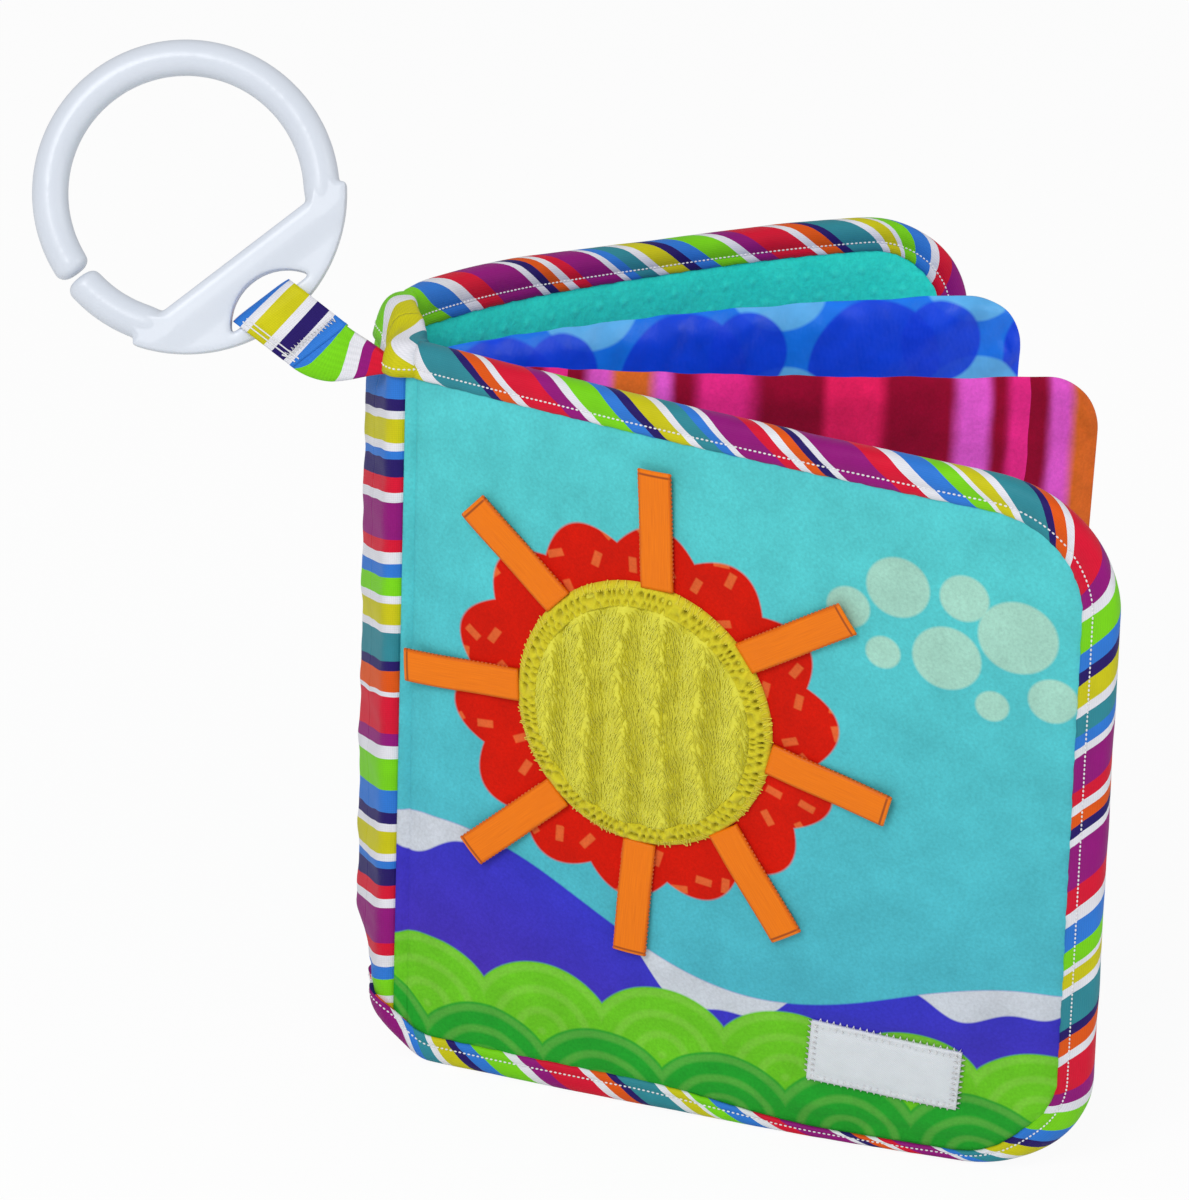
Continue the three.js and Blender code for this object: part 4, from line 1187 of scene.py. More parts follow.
def spine_sheet(name, panel, line, thickness, swell, material, nodes, part, seamed):
    """Cloth over the fold between the spine's middle and a cover, over the whole height. Part is
    the stretch of the line that it takes up, and seamed says which of its two ends is drawn in."""
    fine, run = spaced(line, 240)
    for _ in range(300):
        fine[1:-1] = fine[1:-1] / 2 + (fine[:-2] + fine[2:]) / 4
    reach = (fine - panel.hinge) @ panel.ahead
    seam_run = run[int(np.argmax((reach > SEAM_ALONG) & (run > 0.4 * run[-1])))]
    first, last = {"all": (0, run[-1]), "spine": (0, seam_run), "cover": (seam_run, run[-1])}[part]
    places = np.linspace(first, last, 26 if part != "cover" else 9)
    columns = np.stack([np.interp(places, run, fine[:, k]) for k in (0, 1)], -1)
    ups = np.linspace(4.5 * MM, 160.2 * MM, 146)
    tangent = np.gradient(columns, axis=0)
    tangent /= np.linalg.norm(tangent, axis=1, keepdims=True)
    normal = np.stack([tangent[:, 1], -tangent[:, 0]], -1)
    if np.dot(normal[0], columns[0] - np.array([0, panel.hinge[1] * 0.8])) < 0:
        normal = -normal
    share = places / run[-1]
    spread = np.sin(np.pi * np.clip(share * 0.7 + 0.3, 0, 1))[None, :]
    puffs = (wander(ups, 19 * MM, 31) * 0.6 + wander(ups, 47 * MM, 32) * 0.4)[:, None] * spread
    from_seam = np.abs(places - seam_run)[None, :]
    puckers = wander(ups, 6.5 * MM, 33 + panel.side)[:, None] * np.exp(-from_seam / (1.6 * MM)) * 0.45
    tuck = -0.62 * np.exp(-(from_seam / (0.7 * MM)) ** 2) if seamed else 0.0
    offset = abs(swell) * (puffs + puckers) + 0.6 * MM * tuck
    place = columns[None, :, :] + normal[None, :, :] * offset[..., None]
    top = np.concatenate([place, np.repeat(ups[:, None, None], len(columns), 1)], -1)
    inner = columns[None, :, :] - normal[None, :, :] * np.full_like(offset, thickness)[..., None]
    under = np.concatenate([inner, np.repeat(ups[:, None, None], len(columns), 1)], -1)
    if part == "cover":
        lengthways = (columns - panel.hinge) @ panel.ahead
    else:
        lengthways = places
    back_lean = 0.29 * top[..., 1]
    top, under = lifted(top), lifted(under)
    level = np.repeat(ups[:, None], len(columns), 1) if part == "cover" else top[..., 2] + back_lean
    cloth = np.stack([np.repeat(lengthways[None, :], len(ups), 0), level], -1)
    piece = make_piece(name, slab(top, under, cloth), material)
    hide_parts(*nodes)
    bend(piece)
    return piece


def bend(piece):
    """The piece with its place and turn baked into its points."""
    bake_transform(piece)


def spine_tape(name, panel, at_top, material, thread, nodes, sizes, run_start, run_sign):
    """Half of the binding over an end of the spine, from its middle to the start of a cover's binding."""
    outer, _ = spaced(round_fold(panel, 4.55 * MM, -4.6 * MM, 3.2 * MM, FOLD_END, 1), 30)
    inner, _ = spaced(round_fold(panel, 3.2 * MM, 4.9 * MM, -3.25 * MM, FOLD_END, -1), 30)
    middle = (outer + inner) / 2
    share = np.linspace(0, 1, len(middle))
    angles = np.linspace(0, math.pi, 23)
    across_share = np.sign(np.cos(angles)) * np.abs(np.cos(angles)) ** 0.6
    height_share = np.abs(np.sin(angles)) ** 0.72
    rows = []
    for k in range(len(middle)):
        span = (outer[k] - inner[k]) / 2
        puff = 1 + 0.045 * math.sin(k * 0.62 + 1) * (1 - share[k])
        crown = 0.7 * MM * (1 - share[k]) ** 2 if at_top else 0.0
        ring = []
        for shrink, order in ((1.0, range(23)), (0.72, range(22, -1, -1))):
            for a in order:
                q = across_share[a] * shrink * puff
                rise = height_share[a] * (TAPE_WIDTH + crown) * (1 if shrink == 1.0 else 0.86)
                z = COVER_HEIGHT - TAPE_WIDTH + rise if at_top else TAPE_WIDTH - rise
                if q < 0 and not at_top:
                    z *= 1 - 0.7 * (1 - smooth_step(0.92, 1, share[k]))
                ring.append([*(middle[k] + span * q), z])
        rows.append(ring)
    points = lifted(np.array(rows))
    legs = np.linalg.norm(np.diff(np.array(rows), axis=1), axis=2)
    run_across = np.concatenate([np.zeros((len(rows), 1)), np.cumsum(legs, 1)], 1)
    across = (run_across[:, 11:12] - run_across) / run_across[:, 11:12] * 9.4 * MM
    across = np.concatenate([across, across[:, -1:] - 1 * MM], 1)
    lengthways = run_start + run_sign * ((HOOD_RUN if at_top else FOOT_RUN) * (1 - share) - 0.9 * MM * share)
    slanted = lengthways[:, None] - sizes.tape_slant * (0.28 + 0.17 * share[:, None]) * across
    cloth = np.stack([slanted, across], -1)
    piece = make_piece(name, band(points, cloth, around=True, caps=True), material)
    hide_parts(*nodes)
    bend(piece)
    level = COVER_HEIGHT - STITCH_INSET if at_top else STITCH_INSET
    seam_row = int(np.argmin(np.abs(np.array(rows)[0, :11, 2] - level)))
    stitches = along_lines(name + "_topstitch", [points[:, seam_row]], stitch_tree(), thread,
                           Pitch=sizes.stitch_pitch, Length=sizes.stitch_length, Width=sizes.stitch_width)
    bend(stitches)


def make_spine(colours, sizes):
    striped = material_named("spine_cotton", spine_material, colours, sizes)
    lining = material_named("lining_pile", lining_material, colours, sizes)
    tape = material_named("binding_tape", binding_material, colours, sizes)
    thread = thread_named("topstitch_thread", colours.thread)
    prints = {"front": material_named("cover_print", cover_material, colours, sizes),
              "back": material_named("back_print", back_material, colours, sizes)}
    for side, panel, cover in (("front", front, "front_cover"), ("back", back, "back_cover")):
        outside = round_fold(panel, 3.75 * MM, -3.8 * MM, 2.25 * MM, FOLD_END, 1)
        spine_sheet("spine_cloth_" + side, panel, outside, 0.9 * MM, sizes.puff, striped,
                    ("spine_panel", "spine_padding", cover + "_fold_roll"), "spine", True)
        spine_sheet("cover_fold_" + side, panel, outside, 0.9 * MM, sizes.puff, prints[side],
                    (cover + "_fold_roll",), "cover", True)
        inside = round_fold(panel, 3.2 * MM, 4.7 * MM, -2.2 * MM, FOLD_END, -1)
        spine_sheet("spine_lining_" + side, panel, inside, 0.9 * MM, -0.12 * MM, lining,
                    ("spine_lining",), "all", False)
    total = rim_lengths(front, rim_stations(front, RIM_SPACING))[-1]
    for side, panel, cover, top_start, top_sign, foot_start in (
            ("front", front, "front_cover", 0.0, -1, total),
            ("back", back, "back_cover", -2 * HOOD_RUN, 1, total + 2 * FOOT_RUN)):
        spine_tape("spine_binding_top_" + side, panel, True, tape, thread, ("spine_binding_top",),
                   sizes, top_start, top_sign)
        spine_tape("spine_binding_foot_" + side, panel, False, tape, thread, ("spine_binding_foot",),
                   sizes, foot_start, -top_sign)


# Plush disc


def disc_rib(east, north, sizes):
    """Which way a place lies from the ridge of its rib: nought on the ridge, one in the furrow."""
    sway = (0.8 * MM * np.sin(north / (7.5 * MM) + east / (11 * MM))
            + 0.35 * MM * np.sin(north / (3.3 * MM) + east / (5 * MM)))
    return (((east + sway) / sizes.rib_pitch) % 1.0 - 0.5) * 2


def disc_height(east, north, share, sizes):
    """Height of the plush over the cover: a low dome with upright ribs and a rounded edge."""
    furrow = np.abs(disc_rib(east, north, sizes)) ** 1.7
    knots = 0.22 * MM * np.sin(north / (1.3 * MM) + 2 * np.sin(east / (2.3 * MM)))
    roll = np.sqrt(np.clip(1 - np.clip((share - 0.93) / 0.07, 0, 1) ** 2, 0, 1))
    body = (2.1 * MM + 1.8 * MM * (1 - share ** 2) - 2.0 * MM * furrow * (1 - 0.75 * share ** 6)
            + knots * (1 - share ** 3))
    body = body - 1.3 * MM * smooth_step(0.85, 0.9, share)
    return CLOTH_GAP + np.maximum(body * roll, 0.25 * MM)


def disc_place(share, angle, lift):
    along = DISC_ALONG + share * DISC_HALF_WIDTH * np.cos(angle)
    up = DISC_UP + share * DISC_HALF_HEIGHT * np.sin(angle)
    return front.point(along, up, front.surface(along, up) + lift)


def make_disc(colours, sizes):
    plush = material_named("plush_pile", plush_material, colours, sizes)
    overlock = thread_named("overlock_thread", colours.overlock)
    angles = np.linspace(0, 2 * math.pi, 181)
    shares = np.linspace(0.004, 1, 64) ** 0.9
    share, angle = np.meshgrid(shares, angles, indexing="ij")
    ragged = 1 + 0.012 * np.sin(angle * 23) * share ** 8 + 0.008 * np.sin(angle * 41 + 1) * share ** 8
    east, north = share * DISC_HALF_WIDTH * np.cos(angle), share * DISC_HALF_HEIGHT * np.sin(angle)
    top = disc_place(share * ragged, angle, disc_height(east, north, share, sizes))
    under = disc_place(share * ragged, angle, CLOTH_GAP * 0.5)
    # The cloth's second place is how deep into a furrow a point lies, which the plush's shader turns into
    # painted shade
    cloth = np.stack([east, np.abs(disc_rib(east, north, sizes)) * MM], -1)
    points = np.concatenate([top, under[::-1]])[:, :-1]
    both = np.concatenate([cloth, cloth[::-1]])
    piece = make_piece("plush_disc", band(points, both, around=True, caps=True), plush)
    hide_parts("plush_disc")
    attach(piece, "front_cover")

    random = np.random.default_rng(7)
    lines = []
    for column in np.arange(-26, 26.1, 0.72):
        for row in np.arange(-28, 28.1, 1.1):
            east = (column + random.uniform(-0.35, 0.35)) * MM
            north = (row + random.uniform(-0.5, 0.5)) * MM
            if math.hypot(east / DISC_HALF_WIDTH, north / DISC_HALF_HEIGHT) > 0.86:
                continue
            lean = float(disc_rib(east, north, sizes))
            way = 1 if lean + random.uniform(-0.35, 0.35) > 0 else -1
            heading = -90 + way * (46 - 20 * abs(lean)) + random.uniform(-10, 10)
            strand = []
            reach = sizes.strand_length * random.uniform(0.6, 1.0)
            for step in range(5):
                t = step / 4
                turn = math.radians(heading - way * 30 * t)
                e = east + reach * t * math.cos(turn)
                n = north + reach * t * math.sin(turn)
                s = min(math.hypot(e / DISC_HALF_WIDTH, n / DISC_HALF_HEIGHT), 0.89)
                a = math.atan2(n / DISC_HALF_HEIGHT, e / DISC_HALF_WIDTH)
                lift = float(disc_height(np.array(e), np.array(n), np.array(s), sizes))
                arch = 0.3 * MM * math.sin(math.pi * min(t + 0.12, 1))
                strand.append(disc_place(s, a, lift + arch - 0.1 * MM))
            lines.append(strand)
    strands = along_lines("plush_strands", lines, thread_tree(), plush, Radius=0.17 * MM, Sides=4)
    # The strands carry the same furrow measure, for the same painted shade in the furrows
    co = vertex_places(strands.data)
    east = np.hypot(co[:, 0] - front.hinge[0], co[:, 1] - front.hinge[1]) - DISC_ALONG
    furrow = np.abs(disc_rib(east, co[:, 2] - DISC_UP, sizes)) * MM
    index = np.empty(len(strands.data.loops), int)
    strands.data.loops.foreach_get("vertex_index", index)
    places = np.stack([east, furrow], -1)[index]
    strands.data.uv_layers.new(name="cloth").data.foreach_set("uv", places.astype(np.float32).ravel())
    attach(strands, "front_cover")

    make_edging(overlock, material_named("overlock_loops", overlock_material, colours, sizes))


def make_edging(thread, loops):
    """The overlocked edge: fat stitches over the rim with two rows of needle holes, and a fringe."""
    stitches, mean = 84, (DISC_HALF_WIDTH + DISC_HALF_HEIGHT) / 2
    turns = np.linspace(0, 2 * math.pi, stitches * 8 + 1)
    inward = np.concatenate([[-0.9, -0.8, -0.5], np.linspace(0, 4.0, 18), [4.3]]) * MM
    angle, depth = np.meshgrid(turns, inward, indexing="ij")
    jitter = 0.35 * np.sin(angle * 7 + 1) + 0.3 * np.sin(angle * 17) + 0.12 * np.sin(angle * 41)
    phase = angle * stitches / (2 * math.pi) + jitter
    share = 1 - depth / mean
    base = (2.0 * MM * np.sqrt(np.clip((depth + 0.9 * MM) / (2.4 * MM), 0, 1))
            + 0.4 * MM * smooth_step(1 * MM, 3.4 * MM, depth))
    lumps = 0.42 * MM * np.cos(2 * math.pi * phase) * np.cos(math.pi * (depth - 1.2 * MM) / (1.8 * MM))
    holes = needle_holes(phase, depth / MM)
    twist = 0.09 * MM * np.sin(2 * math.pi * phase * 3 + depth / (0.7 * MM))
    ends = smooth_step(-0.9 * MM, 0.6 * MM, depth) * (1 - smooth_step(3.9 * MM, 4.3 * MM, depth))
    height = (base + (lumps - 1.0 * MM * holes + twist) * ends
              - 1.6 * MM * smooth_step(3.7 * MM, 4.3 * MM, depth))
    top = disc_place(share, angle, CLOTH_GAP * 0.4 + height)
    under = disc_place(share, angle, np.full_like(depth, CLOTH_GAP * 0.3))
    cloth = np.stack([phase * MM, depth], -1)
    band_piece = make_piece("disc_overlock", slab(top, under, cloth), loops)
    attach(band_piece, "front_cover")

    random = np.random.default_rng(9)
    tips = []
    for number in range(stitches * 4):
        angle = 2 * math.pi * (number + random.uniform(-0.4, 0.4)) / (stitches * 4)
        reach, veer = random.uniform(0.9, 1.9) * MM, random.uniform(-0.03, 0.03)
        north, east = math.sin(angle) * DISC_HALF_HEIGHT, math.cos(angle) * DISC_HALF_WIDTH
        bearing = math.degrees(math.atan2(north, east))
        if any(abs((bearing - seat + 180) % 360 - 180) < 9 for seat, _ in RIBBON_SEATS):
            continue
        tips.append([disc_place(1 - (0.6 * MM - reach * t) / mean, angle + veer * t,
                                CLOTH_GAP + (1.5 - 1.1 * t) * MM) for t in (0, 0.35, 0.7, 1)])
    fringe = along_lines("disc_fringe", tips, thread_tree(), thread, Radius=0.14 * MM, Sides=5)
    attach(fringe, "front_cover")


def needle_holes(phase, depth):
    """One in the middle of each needle hole, fading to nought round it, from arrays or a shader's values."""
    first = (phase % 1.0 - 0.5) * 2.1
    second = ((phase + 0.5) % 1.0 - 0.5) * 2.1
    near = (first * first + (depth - 1.2) * (depth - 1.2)) / 0.2
    far = (second * second + (depth - 3.0) * (depth - 3.0)) / 0.2
    return 1 / (1 + near * near) + 0.45 / (1 + far * far)


# Ribbon tabs and label


def make_ribbon_tabs(colours, sizes):
    satin = material_named("ribbon_weave", ribbon_material, colours, sizes)
    picot = thread_named("picot_thread", colours.ribbon_low)
    for number, (bearing, heading) in enumerate(RIBBON_SEATS, 1):
        at = np.array([math.cos(math.radians(bearing)), math.sin(math.radians(bearing))])
        reach = 1 / math.hypot(at[0] / DISC_HALF_WIDTH, at[1] / DISC_HALF_HEIGHT)
        seam = np.array([DISC_ALONG, DISC_UP]) + at * (reach + 1 * MM)
        ahead = np.array([math.cos(math.radians(heading)), math.sin(math.radians(heading))])
        beside = np.array([-ahead[1], ahead[0]])
        fold = 26 - 1.2 * np.cos(np.linspace(0.25, 1, 6) * math.pi / 2) ** 1.5
        runs = np.concatenate([np.linspace(-0.4, 24.8, 40), fold]) * MM
        wides = np.linspace(-0.5, 0.5, 11) * RIBBON_WIDTH
        run, wide = np.meshgrid(runs, wides, indexing="ij")
        along = seam[0] + ahead[0] * run + beside[0] * wide
        up = seam[1] + ahead[1] * run + beside[1] * wide
        share = run / RIBBON_LENGTH
        sag = (0.25 * MM * np.sin(share * 5 + number)
               + 0.18 * MM * np.cos(wide / (2.2 * MM)) * np.clip(share, 0, 1))
        middle = CLOTH_GAP + 0.6 * MM + 1.8 * MM * np.clip(share, 0, 1) + sag * np.clip(share * 2, 0, 1)
        ply = 0.55 * MM * np.sqrt(np.clip(1 - np.clip((run - 25.2 * MM) / (0.8 * MM), 0, 1) ** 2, 0.03, 1))
        surface = front.surface(along, up)
        top = front.point(along, up, surface + middle + ply)
        under = front.point(along, up, surface + np.maximum(middle - ply, 0.12 * MM))
        name = f"ribbon_tab_{number}"
        piece = make_piece(name, slab(top, under, np.stack([run, wide], -1)), satin)
        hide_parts(name)
        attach(piece, name)
        edges = [(top[4:-2, 0] + under[4:-2, 0]) / 2, (top[4:-2, -1] + under[4:-2, -1]) / 2]
        loops = along_lines(name + "_picot", edges, stitch_tree(), picot,
                            Pitch=0.95 * MM, Length=0.62 * MM, Width=0.5 * MM)
        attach(loops, name)


def make_label(colours, sizes):
    woven = material_named("label_weave", label_material, colours, sizes)
    thread = thread_named("label_thread", colours.thread)
    turn = math.radians(LABEL_TILT)

    def on_label(x, y, lift):
        along = LABEL_ALONG + x * math.cos(turn) - y * math.sin(turn)
        up = LABEL_UP + x * math.sin(turn) + y * math.cos(turn)
        return front.point(along, up, front.surface(along, up) + lift)

    xs, ys = np.linspace(-0.5, 0.5, 49) * LABEL_SIZE[0], np.linspace(-0.5, 0.5, 25) * LABEL_SIZE[1]
    x, y = np.meshgrid(xs, ys, indexing="ij")
    rim = np.minimum(LABEL_SIZE[0] / 2 - np.abs(x), LABEL_SIZE[1] / 2 - np.abs(y))
    sewn = (-0.22 * MM * np.exp(-((rim - 1.2 * MM) / (0.9 * MM)) ** 2)
            * (1 + 0.5 * np.sin((x + y) / (0.8 * MM))))
    top = on_label(x, y, CLOTH_GAP + 0.75 * MM + sewn + 0.08 * MM * np.sin(x / (3 * MM)))
    under = on_label(x, y, 0.15 * MM)
    piece = make_piece("woven_label", slab(top, under, np.stack([x, y], -1)), woven)
    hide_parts("woven_label")
    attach(piece, "front_cover")

    half_x, half_y = LABEL_SIZE[0] / 2 - 0.35 * MM, LABEL_SIZE[1] / 2 - 0.35 * MM
    corners = [(-half_x, -half_y), (half_x, -half_y), (half_x, half_y), (-half_x, half_y), (-half_x, -half_y)]
    line = []
    for (x0, y0), (x1, y1) in zip(corners, corners[1:]):
        edge = math.hypot(x1 - x0, y1 - y0)
        teeth = max(4, round(edge / (1.45 * MM)))
        off = np.array([-(y1 - y0), x1 - x0]) / edge
        for k in range(teeth * 2):
            t = k / (teeth * 2)
            swing = 1.0 * MM * (1 if k % 2 else -1)
            px, py = x0 + (x1 - x0) * t + off[0] * swing, y0 + (y1 - y0) * t + off[1] * swing
            line.append(on_label(px, py, CLOTH_GAP + (0.8 if swing > 0 else 0.05) * MM))
    line.append(line[0])
    zigzag = along_lines("label_zigzag", [line], thread_tree(), thread, Radius=0.22 * MM, Sides=6)
    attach(zigzag, "front_cover")


# Link ring and loop

RING_TO_ROOT = (Matrix.Translation((-24 * MM, 1.8 * MM, 168 * MM))
                @ Matrix.Rotation(math.radians(-16), 4, "Z")
                @ Matrix.Rotation(math.radians(-23), 4, "X")
                @ Matrix.Rotation(math.radians(-39.5), 4, "Y"))
RING_RADIUS = 27.7 * MM
ROD_RADIUS = 3.75 * MM
PLATE_RADIUS = 32.8 * MM
PLATE_CHORD = 16.4 * MM
RING_CENTRE_UP = PLATE_RADIUS - 2.1 * MM


def in_ring_frame(points):
    """Points given along the bar, away from the front and towards the ring's centre, in the frame."""
    turn = np.array(RING_TO_ROOT)
    return np.asarray(points) @ turn[:3, :3].T + turn[:3, 3]


def rod(first, last, steps):
    """A stretch of the ring's round rod, sunk into the plate at its start and rounded at its end."""
    angles = np.radians(np.linspace(first, last, steps))
    left = np.abs(angles[-1] - angles) * RING_RADIUS
    near = np.clip(1 - left / (1.5 * MM), 0, 1)
    sunk = smooth_step(0, 13 * MM, np.abs(angles - angles[0]) * RING_RADIUS)
    radii = ROD_RADIUS * (1 - 0.4 * near ** 2) * (0.4 + 0.6 * sunk)
    sides = np.linspace(0, 2 * math.pi, 25)[:-1]
    rows = []
    for angle, radius in zip(angles, radii):
        outward = np.array([math.cos(angle), 0, math.sin(angle)])
        centre = np.array([0, 0, RING_CENTRE_UP]) + outward * RING_RADIUS
        rows.append([centre + outward * radius * math.cos(s) + np.array([0, radius * math.sin(s), 0])
                     for s in sides])
    return band(np.array(rows), np.zeros((steps, len(sides) + 1, 2)), around=True, caps=True)


def plate():
    """The crescent plate with its slot, as an outline drawn in rings from its two faces."""
    chord_angle = math.asin(PLATE_CHORD / PLATE_RADIUS)
    angles = np.linspace(-math.pi + chord_angle + 0.06, -chord_angle - 0.06, 60)
    outline = [(PLATE_RADIUS * math.cos(a), RING_CENTRE_UP + PLATE_RADIUS * math.sin(a)) for a in angles]
    chord_up = RING_CENTRE_UP - PLATE_CHORD
    for t in np.linspace(0.03, 0.97, 24):
        x = outline[59][0] + (outline[0][0] - outline[59][0]) * t
        outline.append((x, chord_up))
    slot = []
    half, depth, rise = 10 * MM, 6 * MM, 2.1 * MM
    radius = (half * half + depth * depth) / (2 * depth)
    centre = rise + depth - radius
    first = math.asin((rise - centre) / radius)
    for a in np.linspace(first, math.pi - first, 24):
        slot.append((radius * math.cos(a), centre + radius * math.sin(a)))
    for t in np.linspace(0, 1, 14)[1:-1]:
        slot.append((-half + 2 * half * t, rise))
    shape = bmesh.new()
    rings = []
    for line in (outline, slot):
        rings.append([shape.verts.new((x, -2.5 * MM, z)) for x, z in line])
    edges = []
    for ring in rings:
        edges += [shape.edges.new((ring[k], ring[(k + 1) % len(ring)])) for k in range(len(ring))]
    bmesh.ops.triangle_fill(shape, use_beauty=True, edges=edges)
    pushed = bmesh.ops.extrude_face_region(shape, geom=list(shape.faces))
    moved = [item for item in pushed["geom"] if isinstance(item, bmesh.types.BMVert)]
    bmesh.ops.translate(shape, vec=(0, 5 * MM, 0), verts=moved)
    bmesh.ops.recalc_face_normals(shape, faces=shape.faces)
    return shape


def make_ring(colours, sizes):
    plastic = material_named("ring_plastic", plastic_material, colours, sizes)
    shape = plate()
    turn = math.degrees(math.asin(PLATE_CHORD / RING_RADIUS))
    mouth = math.degrees(0.55 * MM / RING_RADIUS)
    for first, last, steps in ((-turn - 24, 180 - mouth, 150), (180 + turn + 24, 180 + mouth, 60)):
        points, faces, _ = rod(first, last, steps)
        verts = [shape.verts.new(p) for p in points]
        new_faces = [shape.faces.new([verts[k] for k in face]) for face in faces]
        bmesh.ops.recalc_face_normals(shape, faces=new_faces)
    mesh = bpy.data.meshes.new("link_ring")
    shape.to_mesh(mesh)
    shape.free()
    mesh.materials.append(plastic)
    piece = bpy.data.objects.new("link_ring", mesh)
    bpy.context.scene.collection.objects.link(piece)
    remesh = piece.modifiers.new("moulded", "REMESH")
    remesh.mode = "VOXEL"
    remesh.voxel_size = 0.34 * MM
    remesh.use_smooth_shade = True
    soften = piece.modifiers.new("soften", "SMOOTH")
    soften.factor = 0.5
    soften.iterations = 24
    finished(piece)
    co = vertex_places(piece.data)
    chord_up = RING_CENTRE_UP - PLATE_CHORD
    past_chord = smooth_step(chord_up - 2 * MM, chord_up + 1.5 * MM, co[:, 2])
    in_plate = smooth_step(5 * MM, 10.5 * MM, co[:, 2]) * (1 - past_chord)
    thicker = np.minimum(np.abs(co[:, 1]) * (1 + 0.36 * in_plate), 3.4 * MM)
    co[:, 1] = np.sign(co[:, 1]) * np.maximum(np.abs(co[:, 1]), thicker)
    piece.data.vertices.foreach_set("co", co.ravel())
    piece.data.transform(RING_TO_ROOT)
    piece.data.materials.clear()
    piece.data.materials.append(plastic)
    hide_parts("link_ring")
    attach(piece, "ring")


STRAP_STRIPES = [
    ("blue", 3.4), ("white", 1.8), ("yellow", 4.4), ("white", 1.9), ("navy", 3.0), ("white", 1.5),
    ("blue", 3.0), ("lime", 4.5), ("white", 3.0), ("purple", 2.2), ("red", 8),
]


def strap_material(colours, sizes):
    shade = Shade("strap_cotton", **WOVEN)
    along, across = shade.cloth_places()
    cotton(shade, along, across, shade.stripes(along - across * 0.17, STRAP_STRIPES))
    return shade.material


